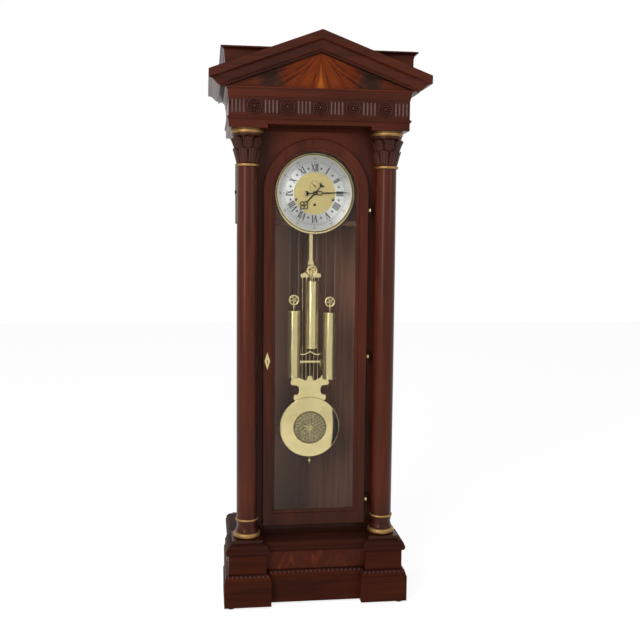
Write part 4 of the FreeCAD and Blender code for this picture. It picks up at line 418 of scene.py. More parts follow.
def as_dress(layer):
    """Make a change of colour a dress: it is given its settings first, and a tree, place and base colour later."""
    make = lambda *settings: lambda tree, place, base: layer(tree, place, base, *settings)
    return functools.wraps(layer)(make)


@as_dress
def rubbed(tree, place, base, most, hollow=0.2):
    """Dress for carved wood: painted shade darkens the hollows, and a painted highlight makes the high places
    pale.
    """
    base = by_relief(tree, base, hollow, 1.1)
    proud = add(tree, "Attribute", attribute_name="proud").outputs["Fac"]
    high = add(tree, "MapRange", (proud, 0.5, 1, 0, most))
    return painted_in(tree, base, high, bpy.context.scene.clock_colours.worn)


@as_dress
def by_width(tree, place, base, near, far, tone, fold=True):
    """Dress for a board that takes a tone up to one place across it, less and less from there to another.

    Where it is folded, both places are distances from the centre line.
    """
    side = add(tree, "SeparateXYZ", (place,)).outputs[0]
    if fold:
        side = add(tree, "Math", (side,), operation="ABSOLUTE")
    return by_distance(tree, base, side, near, far, tone)


@as_dress
def by_reach(tree, place, base, middle, near, far, tone, squash=1.4):
    """Dress for a board with a round patch of a tone about an (x, z) point, wider than it is tall."""
    flat = add(tree, "VectorMath", (place, (1, 0, squash)), operation="MULTIPLY")
    point = (middle[0], 0, squash * middle[1])
    away = add(tree, "VectorMath", (flat, point), operation="DISTANCE")
    return by_distance(tree, base, away, near, far, tone)


@as_dress
def under_rake(tree, place, base, foot, rise, run, lift=0.001, dark=0.0015, clear=0.0065, least=0.2):
    """Dress for the wood beside the raking mouldings: painted shadow in the corner where they meet the tympanum.
    """
    x, _, z = add(tree, "SeparateXYZ", (place,)).outputs
    side = add(tree, "Math", (x,), operation="ABSOLUTE")
    level = add(tree, "Math", (side, rise / run, z), operation="MULTIPLY_ADD")
    away = add(tree, "Math", (level, foot + rise + lift), operation="SUBTRACT")
    near = add(tree, "Math", (away,), operation="ABSOLUTE")
    share = add(tree, "MapRange", (near, dark, clear, least, 1))
    return add(tree, "VectorMath", {0: base, "Scale": share}, operation="SCALE")


@as_dress
def toward_foot(tree, place, base, low, high, least):
    """Dress for wood with painted shade near the floor: its colour falls to a share between two heights."""
    rise = add(tree, "SeparateXYZ", (place,)).outputs[2]
    share = add(tree, "MapRange", (rise, low, high, least, 1))
    return add(tree, "VectorMath", {0: base, "Scale": share}, operation="SCALE")


@as_dress
def dulled(tree, place, base, share, tone):
    """Dress for wood with an old waxed film over it, which dulls its red."""
    return painted_in(tree, base, share, tone)


@as_dress
def in_turn(tree, place, base, *layers):
    """Dress that puts several on, one over the other."""
    for layer in layers:
        base = layer(tree, place, base)
    return base


# Materials

LACQUER_TINT = (*linear("#ffc7ae"), 1)
# Tones across the fan of veneer, from its middle at 0 to its ends at 1
FAN_TONES = (
    (0.0, "#6f2f13"),
    (0.20, "#6d2e14"),
    (0.36, "#5a2513"),
    (0.44, "#3a1f16"),
    (0.50, "#281a17"),
    (0.60, "#2d1c18"),
    (0.67, "#4b2213"),
    (0.84, "#431e13"),
)


def lacquered_mahogany(name, along, depth=0.0, rough=0.30, coat=0.12, shine=0.20, dress=None):
    """Mahogany under satin lacquer: straight dark grain in broad soft bands, and a warm sheen.

    along names the axes that the grain runs along: both X and Y where a moulding turns the corner. depth draws the
    tones towards the dark grain. dress changes the colour further, from place to place.
    """
    tones = bpy.context.scene.clock_colours
    material, tree, place = blank_material(name)
    grain = figured(tree, place, grain_scale(along, 5.0, 240.0), 5, Roughness=0.6, Distortion=0.3)
    band = figured(tree, place, grain_scale(along, 70.0, 600.0), 2, Distortion=0.6)
    blend = add(tree, "Mix", {"Factor": 0.6, "A": grain, "B": band}, data_type="FLOAT")
    mid, light = (mixed(tone, tones.wood_dark, depth) for tone in (tones.wood_mid, tones.wood_light))
    base = ramp(tree, blend, [(0.30, darkened(tones.wood_dark, depth)), (0.5, mid), (0.70, light)])
    if dress:
        base = dress(tree, place, base)
    shade(
        tree,
        {
            "Base Color": base,
            "Roughness": add(tree, "MapRange", (band, 0, 1, rough, rough + 0.14)),
            "Normal": add(tree, "Bump", {"Height": grain, "Strength": 0.06, "Distance": 0.0006}),
            "Specular IOR Level": shine,
            "Specular Tint": LACQUER_TINT,
            "Coat Weight": coat,
            "Coat Roughness": 0.15,
        },
    )
    return material


def oiled_mahogany(name, tone, dress=None):
    """Plain mahogany boards inside the case: open, dull, lighter than the stained outside."""
    material, tree, place = blank_material(name)
    grain = figured(tree, place, grain_scale("Z", 9.0, 300.0), 4, Distortion=0.3)
    base = ramp(tree, grain, [(0.35, darkened(tone, 0.35)), (0.65, tone)])
    if dress:
        base = dress(tree, place, base)
    shade(tree, {"Base Color": base, "Roughness": 0.65, "Specular IOR Level": 0.15})
    return material


def veneered(tree, base, shine):
    """Finish a veneer under thin lacquer."""
    inputs = {"Roughness": 0.36, "Specular IOR Level": shine, "Specular Tint": LACQUER_TINT}
    shade(tree, {"Base Color": base, **inputs})


def flame_veneer(name, low, high):
    """Crotch mahogany veneer in four upright leaves: dark, with lighter flames that rise aslant in each leaf.

    A flame leans by 55 mm in 100 mm of height, is 18 mm wide and 110 mm tall, and the leaves differ.
    """
    tones = bpy.context.scene.clock_colours
    material, tree, place = blank_material(name)
    x, _, z = add(tree, "SeparateXYZ", (place,)).outputs
    fold = add(tree, "Math", (x, (high.x - low.x) / 4), operation="PINGPONG")
    lean = add(tree, "Math", (z, -0.55, fold), operation="MULTIPLY_ADD")
    flame_at = add(tree, "CombineXYZ", (lean, x, z))
    scale = [1000 / size_mm for size_mm in (18.0, 90.0, 110.0)]
    flame = figured(tree, flame_at, scale, 4, Roughness=0.55, Distortion=0.8)
    light = mixed(tones.wood_light, tones.flame_light, 0.25)
    shadow = mixed(tones.wood_dark, tones.wood_mid, 0.5)
    veneered(tree, ramp(tree, flame, [(0.38, shadow), (0.57, tones.wood_mid), (0.76, light)]), 0.2)
    return material


def sunburst_veneer(name, low, high):
    """Fan of flame veneer: fine rays spread down from the apex, a bright flame in the middle, dark leaves outside.

    A ray's place is its angle from the apex, bowed with its reach. The leaves are bands across the fan whose edges
    wander with a finer noise. The flame is a narrow wedge under the apex that flickers with the rays.
    """
    material, tree, place = blank_material(name)
    x, _, z = add(tree, "SeparateXYZ", (place,)).outputs
    apex = low.z + bpy.context.scene.clock_sizes.fan_rise
    down = add(tree, "Math", (apex, z), operation="SUBTRACT")
    side = add(tree, "Math", (x,), operation="ABSOLUTE")
    turn = add(tree, "Math", (side, down), operation="ARCTAN2")
    reach = add(tree, "VectorMath", (place, (0, low.y, apex)), operation="DISTANCE")
    bow = add(tree, "Math", (reach, -0.9, turn), operation="MULTIPLY_ADD")
    ray_at = add(tree, "CombineXYZ", (bow, reach))
    rays = figured(tree, ray_at, (17, 6, 1), 5, Roughness=0.62, Distortion=0.4)
    feather = figured(tree, ray_at, (5, 60, 1), 3)
    stray = 0.09
    wander = add(tree, "Math", (feather, stray, side), operation="MULTIPLY_ADD")
    share = add(tree, "MapRange", (wander, stray / 2, high.x + stray / 2))
    leaves = ramp(tree, share, [(at, linear(tone)) for at, tone in FAN_TONES])
    wedge = add(tree, "Math", (down, 0.28, -0.0210), operation="MULTIPLY_ADD")
    inside = add(tree, "Math", (wedge, side), operation="SUBTRACT")
    flicker = add(tree, "Math", (rays, 0.016, inside), operation="MULTIPLY_ADD")
    flame = add(tree, "MapRange", (flicker, 0, 0.022))
    tone = painted_in(tree, leaves, flame, linear("#96501d"))
    share = add(tree, "MapRange", (rays, 0.38, 0.60, 0.34, 1.2))
    base = add(tree, "VectorMath", {0: tone, "Scale": share}, operation="SCALE")
    # Painted shadow under the raking mouldings, along the top of the fan
    veneered(tree, under_rake(low.z, *PANEL_SIZE)(tree, place, base), 0.12)
    return material


def metal(name, tone, rough, mottle_mm=30.0, stain=0.10, metallic=1.0, carved=None):
    """Metal or paint with a faint uneven polish; stain is how dark its mottles are.

    carved gives the shares of its colour in the hollows of a carved piece and on its high places.
    """
    material, tree, place = blank_material(name)
    noise = add(tree, "TexNoise", {"Vector": place, "Scale": 1000 / mottle_mm, "Detail": 3})
    span = add(tree, "MapRange", (noise, 0, 1, rough * 0.8, rough * 1.25))
    base = ramp(tree, noise, [(0.38, darkened(tone, stain)), (0.62, tone)])
    if carved:
        base = by_relief(tree, base, *carved)
    shade(tree, {"Base Color": base, "Metallic": metallic, "Roughness": span})
    return material


def silvered_brass(name, tone):
    """Chapter ring silvered with a paste and grained in circles: its sheen gathers in two fans across the ring."""
    material, tree, place = blank_material(name)
    bloom_mm = 60.0
    bloom = add(tree, "TexNoise", {"Vector": place, "Scale": 1000 / bloom_mm, "Detail": 2})
    shade(
        tree,
        {
            "Base Color": ramp(tree, bloom, [(0.3, darkened(tone, 0.06)), (0.7, tone)]),
            "Metallic": 1.0,
            "Roughness": 0.36,
            "Anisotropic": 0.85,
            "Anisotropic Rotation": 0.25,
            "Tangent": add(tree, "Tangent", direction_type="RADIAL", axis="Y"),
        },
    )
    return material


def bezel_brass(name, middle, ring_radius, ring_width):
    """Lacquered brass ring with a painted dark reflection along its groove."""
    material, tree, place = blank_material(name)
    flat = add(tree, "VectorMath", (place, (1, 0, 1)), operation="MULTIPLY")
    reach = add(tree, "VectorMath", (flat, (middle.x, 0, middle.z)), operation="DISTANCE")
    away = add(tree, "Math", (reach, ring_radius), operation="SUBTRACT")
    near = add(tree, "Math", (away,), operation="ABSOLUTE")
    share = add(tree, "MapRange", (near, ring_width * 0.45, ring_width * 0.6))
    # Painted dark reflection along the groove
    base = ramp(tree, share, [(0.0, linear("#3a3320")), (1.0, bpy.context.scene.clock_colours.brass)])
    smudge_mm = 25.0
    smudge = add(tree, "TexNoise", {"Vector": place, "Scale": 1000 / smudge_mm, "Detail": 3})
    rough = add(tree, "MapRange", (smudge, 0, 1, 0.14, 0.3))
    shade(tree, {"Base Color": base, "Metallic": 0.75, "Roughness": rough})
    return material


def clear_glass(name):
    """Float glass: clear, mirror-smooth, and lamps shine through it."""
    material, tree, _ = blank_material(name)
    look = {"Base Color": (0.98, 0.98, 0.98, 1), "Roughness": 0.0, "IOR": 1.22, "Transmission Weight": 1.0}
    pane = add(tree, "BsdfPrincipled", look)
    path = add(tree, "LightPath").outputs
    through = add(tree, "Math", (path["Is Shadow Ray"], path["Is Diffuse Ray"]), operation="MAXIMUM")
    both = add(tree, "MixShader", (through, pane, add(tree, "BsdfTransparent")))
    add(tree, "OutputMaterial", {"Surface": both})
    return material


# Carved wood


def capital_leaves(x, y, low, high, foot, bell, tip, count, reeds, offset, relief_light):
    """One tier of broad carved leaves round a capital.

    Rows rise up the leaf and then fold back under its tip. The radius is the bell's plus a curl that grows with
    the 2.6th power of the height, full at the midrib and nothing at a leaf's edges, less the grooves between
    upright reeds, which are arches of a sine. The height falls off towards a leaf's edges, so each tip is rounded.
    """
    thick, swell, cut, sag = 0.0015, 0.003, 0.0024, 0.0035
    angle = around(count * 36)
    place = leaf_share(angle, count, offset)[None]
    up = np.linspace(0, 1, 17)[:, None]
    body = (1 - np.abs(place) ** 5) ** 0.6
    groove = (1 - np.abs(np.cos(np.pi * reeds / 2 * place))) ** 2 * np.minimum(1, 5 * (1 - up) + 0.25)
    curl = thick + swell * np.sin(np.pi * up) + (tip - bell - thick) * up**2.6
    radius = foot + (bell - foot) * up + body * curl - cut * groove
    height = low + (high - low) * up * (1 - 0.17 * np.abs(place) ** 2.4 * up**2)
    back = np.linspace(0, 1, 5)[1:, None]
    fold = radius[-1:] + (bell - 0.004 - radius[-1:]) * back
    under = height[-1:] - sag * np.sin(np.pi * back)
    # Painted light on a leaf: highlight on its body, painted shade in its grooves, near its tip and under its fold
    proud = relief_light * np.clip(body * (1 - 0.75 * groove) - 0.3 * up**3, 0, 1)
    proud = np.concatenate([proud, 0.3 * (1 - back) * proud[-1:]])
    radius = np.concatenate([radius, fold])
    height = np.concatenate([height, under])
    return np.stack([x + radius * np.cos(angle), y + radius * np.sin(angle), height, proud], -1)


def capital_parts(x, y, low, high, count):
    """Bell of a capital with two tiers of leaves, the upper ones over the gaps of the lower ones."""
    rise = high - low
    level = low + rise * np.array([0.0, 0.05, 0.46, 0.8, 0.9, 0.95, 1.0])
    girth = np.array([0.0445, 0.0445, 0.0505, 0.0575, 0.0605, 0.0655, 0.0655])
    # Share of painted highlight for each ring of the bell; low values leave it in painted shade
    relief_light = np.array([0.2, 0.2, 0.1, 0.2, 0.4, 0.7, 0.7])
    ground = turned(x, y, girth, level)
    shadow = np.broadcast_to(relief_light[:, None, None], (*ground.shape[:2], 1))
    tiers = (
        (low + 0.003, low + 0.50 * rise, 0.0455, 0.0515, 0.0635, count, 3, 0.0, 1.0),
        (low + 0.40 * rise, low + 0.86 * rise, 0.0505, 0.0590, 0.0745, count, 5, 0.5, 0.75),
    )
    bell = shell(np.concatenate([ground, shadow], -1), True, True, True)
    return [bell] + [shell(capital_leaves(x, y, *tier), True) for tier in tiers]


class CLOCK_OT_capitals(bpy.types.Operator):
    """Carve the leaf capitals of the two columns"""

    bl_idname = "clock.capitals"
    bl_label = "Capitals"

    def execute(self, context):
        low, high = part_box("column_capitals")
        clear = 0.0001
        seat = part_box("front_frame")[0].y - clear
        left = middle_of("column_left").x
        parts = []
        for x in (left, -left):
            parts += capital_parts(x, COLUMN_Y, low.z, high.z, context.scene.clock_sizes.leaves)
        points, faces = gather(parts)
        points[:, 1] = np.minimum(points[:, 1], seat)
        # Painted shade in the capitals' hollows and a painted highlight on their high places
        wood = lacquered_mahogany("carved_mahogany", "Z", depth=0.42, rough=0.36, dress=rubbed(0.09, 0.35))
        carved = piece("carved_capitals", points, faces, wood, "case", "mahogany")
        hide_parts("column_capitals")
        return {"FINISHED"}


class CLOCK_OT_rosettes(bpy.types.Operator):
    """Carve the rosettes of the frieze"""

    bl_idname = "clock.rosettes"
    bl_label = "Rosettes"

    def execute(self, context):
        low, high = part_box("frieze_rosettes")
        radius = (high.z - low.z) / 2
        ends = high.x - radius
        petals = context.scene.clock_sizes.petals
        z = (low.z + high.z) / 2
        points, faces = gather(self.rosette(x, high.y, z, radius, petals) for x in np.linspace(-ends, ends, 5))
        # Painted shade in the rosettes' hollows and a painted highlight on their high places
        wood = lacquered_mahogany("rosette_mahogany", "X", depth=0.5, coat=0.1, dress=rubbed(0.06))
        carved = piece("carved_rosettes", points, faces, wood, "case", "mahogany")
        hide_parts("frieze_rosettes")
        return {"FINISHED"}

    def rosette(self, x, y, z, size, petals):
        """One rosette: a round rim, two rings of petals and a domed boss.

        The relief is a half-round hump at the rim, plus in each ring one hump a petal, full at its midrib and
        falling to its two ends, plus a half-ball boss. The outer ring has nearly twice the petals.
        """
        ground, rim_high, boss_high, petal_high = 0.0012, 0.0055, 0.0070, 0.0052
        angle = around(petals * 24)[None]
        share = np.concatenate([[1.0, 1.0], np.linspace(0.995, 0.02, 34)])[:, None]
        rim = rim_high * np.sqrt(np.clip(1 - ((share - 0.91) / 0.09) ** 2, 0, 1))
        relief = ground + rim + boss_high * np.sqrt(np.clip(1 - (share / 0.20) ** 2, 0, 1))
        for start, finish, count in ((0.50, 0.82, 2 * petals - 2), (0.20, 0.54, petals)):
            place = leaf_share(angle, count)
            along = np.clip((share - start) / (finish - start), 0, 1)
            relief = relief + petal_high * (1 - np.abs(place) ** 2.2) * np.sin(np.pi * along**1.4) ** 0.8
        relief[0] = 0.0
        grid = disc((x, y, z), size * share[:, 0], angle[0], relief)
        proud = np.clip((relief - ground) / rim_high, 0, 1)[..., None]
        return shell(np.concatenate([grid, proud], -1), True, False, True)


class CLOCK_OT_flutes(bpy.types.Operator):
    """Line the flutes of the frieze with a pale painted highlight"""

    bl_idname = "clock.flutes"
    bl_label = "Flutes"

    def execute(self, context):
        sizes = context.scene.clock_sizes
        low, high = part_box("frieze_rosettes")
        pitch = (high.x - (high.z - low.z) / 2) / 2
        groups = (np.arange(6) - 2.5) * pitch
        steps = (np.arange(4) - 1.5) * sizes.flute_pitch
        places = (groups[:, None] + steps[None]).ravel()
        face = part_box("frieze")[0].y
        z = (low.z + high.z) / 2
        points, faces = gather(shell(self.hollow(x, face, z, sizes)) for x in places)
        # Painted highlight in each flute, a pale line the whole length of it
        wood = oiled_mahogany("waxed_mahogany", context.scene.clock_colours.wax)
        piece("flute_hollows", points, faces, wood, "case", "mahogany")
        return {"FINISHED"}

    def hollow(self, x, face, z, sizes):
        """One hollow: across it the depth is half an ellipse, and both ends are rounded like the slot it lines."""
        half = sizes.flute_width / 2
        reach = sizes.flute_length / 2 - half
        sunk, deep, straight = 0.0004, 0.0036, 0.8
        up = np.linspace(-1, 1, 19)[:, None]
        across = np.linspace(-1, 1, 11)[None]
        past = np.clip(np.abs(up) - straight, 0, 1 - straight) / (1 - straight)
        wide = np.sqrt(1 - 0.96 * past**2)
        rise = np.minimum(np.abs(up), straight) / straight * reach + past * half * 0.98
        depth = deep * np.sqrt(np.clip(1 - across**2, 0, 1)) * wide
        return facing(x + half * 0.97 * across * wide, z + np.sign(up) * rise + 0 * across, face + sunk + depth)


class CLOCK_OT_plinth_carving(bpy.types.Operator):
    """Carve the row of leaves round the plinth moulding"""

    bl_idname = "clock.plinth_carving"
    bl_label = "Plinth Carving"

    def execute(self, context):
        low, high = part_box("plinth_moulding")
        pitch = context.scene.clock_sizes.carving_pitch
        path = self.plan()
        ahead = np.diff(path, axis=0)
        outward = np.stack([ahead[:, 1], -ahead[:, 0]], -1) / np.linalg.norm(ahead, axis=1)[:, None]
        before = np.concatenate([outward[:1], outward])
        after = np.concatenate([outward, outward[-1:]])
        mitre = (before + after) / (1 + np.sum(before * after, axis=1, keepdims=True))
        outer = np.linalg.norm(np.diff(path + CARVING_OUT * mitre, axis=0), axis=1)
        counts = np.maximum(1, np.round(outer / pitch)).astype(int)
        steps = [count * LEAF_STEPS + 1 for count in counts]
        run = np.repeat(np.arange(len(counts)), steps)
        along = np.concatenate([np.linspace(0, 1, step) for step in steps])
        leaf = along * counts[run]
        rise = np.linspace(0, 1, 9)[:, None]
        out, z, proud = self.leaf_profile(np.abs(2 * np.mod(leaf, 1.0) - 1)[None], rise, low.z, high.z)
        start, finish = (path[end][None] + out[..., None] * mitre[end][None] for end in (run, run + 1))
        flat = start + (finish - start) * along[None, :, None]
        points, faces = shell(np.concatenate([flat, z[..., None], proud[..., None]], -1))
        # Painted shade in the carving's hollows and a strong painted highlight on its leaves
        look = {"depth": 0.3, "coat": 0.03, "shine": 0.1, "dress": rubbed(0.8, 0.25)}
        wood = lacquered_mahogany("plinth_carving_mahogany", "XY", **look)
        piece("plinth_carving", points, faces, wood, "case", "mahogany")
        return {"FINISHED"}

    def plan(self):
        """Plan of the dado, from the back on the left round the two blocks to the back on the right."""
        front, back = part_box("pedestal")[0].y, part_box("pedestal")[1].y
        side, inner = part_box("pedestal")[1].x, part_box("pedestal_panel")[1].x
        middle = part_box("pedestal_panel")[0].y
        rear = 2 * COLUMN_Y - front
        behind = side - 0.009
        right = [(inner, middle), (inner, front), (side, front), (side, rear), (behind, rear), (behind, back)]
        return np.array([(-x, y) for x, y in reversed(right)] + right)

    def leaf_profile(self, edge, rise, low, high):
        """Section of the carving: a quarter round from the ledge up to the dado.

        edge is 0 at a leaf's midrib and 1 at its sides; the leaf stands proud by half a circle across its width
        and is cut back to the ground at its sides. A shallow dip runs along the midrib.
        """
        high_by, dip_by, dip_wide = 0.0042, 0.0014, 0.2
        foot = low + 0.30 * (high - low)
        head = high - 0.0005
        turn = rise * np.pi / 2
        swell = high_by * np.sqrt(np.clip(1 - edge**2, 0, 1)) * np.sin(np.pi * rise) ** 0.6
        ground = CARVING_OUT - CARVING_FALL * (1 - np.cos(turn)) ** 0.9
        dip = dip_by * np.exp(-((edge / dip_wide) ** 2)) * np.sin(np.pi * rise)
        z = foot + (head - foot) * np.sin(turn) ** 1.1 + 0 * edge
        proud = np.clip(1.05 - edge * 1.5, 0, 1) * np.sin(np.pi * rise**0.35) ** 0.7
        return ground + swell - dip, z, proud


# Dial and works


def on_dial(across, out, turn, middle, y):
    """Points of a flat drawing, turned clockwise about the dial's middle."""
    x = middle[0] + across * np.cos(turn) + out * np.sin(turn)
    return facing(x, middle[2] - across * np.sin(turn) + out * np.cos(turn), y)


def outlines(shapes, turn, middle, y):
    """Flat outlines on the dial: each (across, outward) outline is turned clockwise about the dial's middle.

    shapes has one outline a row, drawn anticlockwise from a point that sees all of it.
    """
    shapes = np.asarray(shapes, float)
    turn = np.broadcast_to(np.asarray(turn, float), len(shapes))[:, None]
    points = on_dial(shapes[..., 0], shapes[..., 1], turn, middle, y)
    corners = shapes.shape[1]
    first = np.arange(len(shapes))[:, None] * corners
    step = np.arange(1, corners - 1)[None]
    faces = np.stack([np.broadcast_to(first, (len(shapes), corners - 2)), first + step, first + step + 1], -1)
    return points.reshape(-1, 3), faces.reshape(-1, 3)


def bars(across, low, high, wide):
    """Upright bars as outlines, each centred on its place across."""
    across, low, high, wide = np.broadcast_arrays(*[np.asarray(part, float) for part in (across, low, high, wide)])
    left, right = across - wide / 2, across + wide / 2
    corners = [(left, low), (right, low), (right, high), (left, high)]
    return np.stack([np.stack(corner, -1) for corner in corners], -2)


def marks(count, inner, outer, wide, middle, y):
    """Even ring of marks between two radii."""
    return outlines(bars(np.zeros(count), inner, outer, wide), around(count), middle, y)


def hoop(middle, outer, inner, y, columns=160):
    """Flat ring that looks to the front."""
    return shell(disc((middle[0], y, middle[2]), np.array([outer, inner]), around(columns), 0.0), True)


def numeral(word, foot, head):
    """Strokes and serifs of an hour numeral, its feet towards the dial's middle."""
    serif_past, serif_half = 0.0013, 0.0006
    shapes = []
    place = -sum(LETTERS[letter][1] for letter in word) / 2
    for letter in word:
        strokes, room = LETTERS[letter]
        for low, high, share in strokes:
            half = share * STROKE / 2
            a, b = (place + room / 2 + low) * STROKE, (place + room / 2 + high) * STROKE
            shapes.append([(a - half, foot), (a + half, foot), (b + half, head), (b - half, head)])
            ends = np.array([foot, head])
            shapes += bars([a, b], ends - serif_half, ends + serif_half, 2 * (half + serif_past)).tolist()
        place += room
    return shapes


def figures(number, size):
    """Flat mesh of a number in the built-in typeface, centred: its points across and up, and its triangles."""
    curve = bpy.data.curves.new("minute_figure", "FONT")
    curve.body = str(number)
    curve.size = size
    curve.align_x, curve.align_y = "CENTER", "CENTER"
    holder = bpy.data.objects.new("minute_figure", curve)
    mesh = bpy.data.meshes.new_from_object(holder)
    mesh.calc_loop_triangles()
    points = np.empty(len(mesh.vertices) * 3)
    mesh.vertices.foreach_get("co", points)
    faces = np.empty(len(mesh.loop_triangles) * 3, int)
    mesh.loop_triangles.foreach_get("vertices", faces)
    for data, store in ((holder, bpy.data.objects), (curve, bpy.data.curves), (mesh, bpy.data.meshes)):
        store.remove(data)
    return points.reshape(-1, 3)[:, :2], faces.reshape(-1, 3)


class CLOCK_OT_dial(bpy.types.Operator):
    """Draw the numerals, stars, minute track and seconds ring on the dial"""

    bl_idname = "clock.dial"
    bl_label = "Dial"

    def execute(self, context):
        sizes = context.scene.clock_sizes
        middle = middle_of("chapter_ring")
        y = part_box("chapter_ring")[0].y - DIAL_LIFT
        parts = []
        for hour, word in enumerate(NUMERALS, 1):
            shapes = numeral(word, sizes.numeral_inner, sizes.numeral_outer)
            parts.append(outlines(shapes, hour * np.pi / 6, middle, y))
        parts.append(self.stars(middle, y))
        parts += [marks(*ring, middle, y) for ring in MINUTE_MARKS]
        parts += [hoop(middle, *radii, y) for radii in MINUTE_CIRCLES]
        for hour in range(1, 13):
            points, faces = figures(5 * hour, FIGURE_SIZE)
            out = points[:, 1] + FIGURE_RING
            parts.append((on_dial(points[:, 0], out, hour * np.pi / 6, middle, y), faces))
        parts += self.seconds_ring()
        points, faces = gather(parts)
        ink = context.scene.clock_colours.ink
        black = metal("dial_enamel_black", ink, rough=0.5, mottle_mm=3.0, metallic=0.0)
        piece("dial_drawing", points, faces, black, "case", "blackened_steel", False)
        return {"FINISHED"}

    def stars(self, middle, y):
        """Eight-pointed star half way between each pair of hours: its outline swings between two radii."""
        tip, notch = 0.0085, 0.0028
        angle = np.linspace(0, 2 * np.pi, 17)
        reach = np.where(np.arange(17) % 2 == 0, tip, notch)
        outline = np.stack([reach * np.sin(-angle), STAR_RING + reach * np.cos(angle)], -1)
        star = np.concatenate([[(0.0, STAR_RING)], outline])
        turn = (np.arange(12) + 0.5) * np.pi / 6
        return outlines(np.repeat(star[None], 12, axis=0), turn, middle, y)

    def seconds_ring(self):
        """Two fine circles with twelve marks between them, round the seconds arbor."""
        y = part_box("dial_plate")[0].y - DIAL_LIFT
        circles = [hoop(SECONDS_MIDDLE, *radii, y, 72) for radii in SECOND_CIRCLES]
        return [marks(*SECOND_MARKS, SECONDS_MIDDLE, y), *circles]


class CLOCK_OT_medallion(bpy.types.Operator):
    """Chase the relief of the medallion on the pendulum bob"""

    bl_idname = "clock.medallion"
    bl_label = "Medallion"

    def execute(self, context):
        low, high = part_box("bob_medallion")
        middle = (low + high) / 2
        grid = self.relief((middle.x, low.y, middle.z), (high.z - low.z) / 2)
        points, faces = shell(grid, True, False, True)
        tone = context.scene.clock_colours.bronze
        look = {"rough": 0.5, "mottle_mm": 6.0, "stain": 0.55, "carved": (0.35, 1.7)}
        bronze = metal("grey_bronze_relief", tone, **look)
        piece("medallion_relief", points, faces, bronze, "pendulum", "bronze")
        return {"FINISHED"}

    def relief(self, middle, radius):
        """Roped rim round a field of small curled leaves, set in rings, with a petalled heart.

        A ring's leaves stand side by side, shifted by half a leaf from ring to ring. Each leaf is a hump that
        falls to its four sides, and a spiral groove, a wave of its angle plus its reach, curls it. The rim's beads
        are a wave round the edge, and the heart has eight humps.
        """
        inner, outer, rows = 0.22, 0.905, 4
        ground, rim_high, leaf_high, heart_high = 0.0001, 0.0013, 0.0011, 0.0010
        angle = around(600)[None]
        share = np.linspace(0.998, 0.01, 100)[:, None]
        rim = np.clip(1 - ((share - 0.955) / 0.042) ** 2, 0, 1) ** 0.5 * (0.7 + 0.3 * np.cos(60 * angle))
        deep = (outer - inner) / rows
        row = np.floor((share - inner) / deep)
        up = 2 * np.mod((share - inner) / deep, 1.0) - 1
        count = np.maximum(6, np.round(2 * np.pi * (inner + (row + 0.5) * deep) / (1.1 * deep)))
        across = leaf_share(angle, count, 0.5 * np.mod(row, 2))
        curl = 0.5 + 0.5 * np.cos(2 * np.arctan2(up + 0 * across, across) + 5 * np.hypot(up, across))
        leaf = np.sqrt(np.clip((1 - across**2) * (1 - up**2), 0, 1)) * (0.25 + 0.75 * curl)
        field = leaf * (share < outer) * (share > inner)
        heart = np.clip((inner - share) / 0.02, 0, 1) * (0.55 + 0.45 * np.abs(np.cos(4 * angle)))
        height = rim_high * rim + leaf_high * field + heart_high * heart + ground
        proud = (np.clip(height / heart_high, 0, 1) * np.where(share > 0.915, 0.3, 1.0))[..., None]
        return np.concatenate([disc(middle, radius * share[:, 0], angle[0], height), proud], -1)


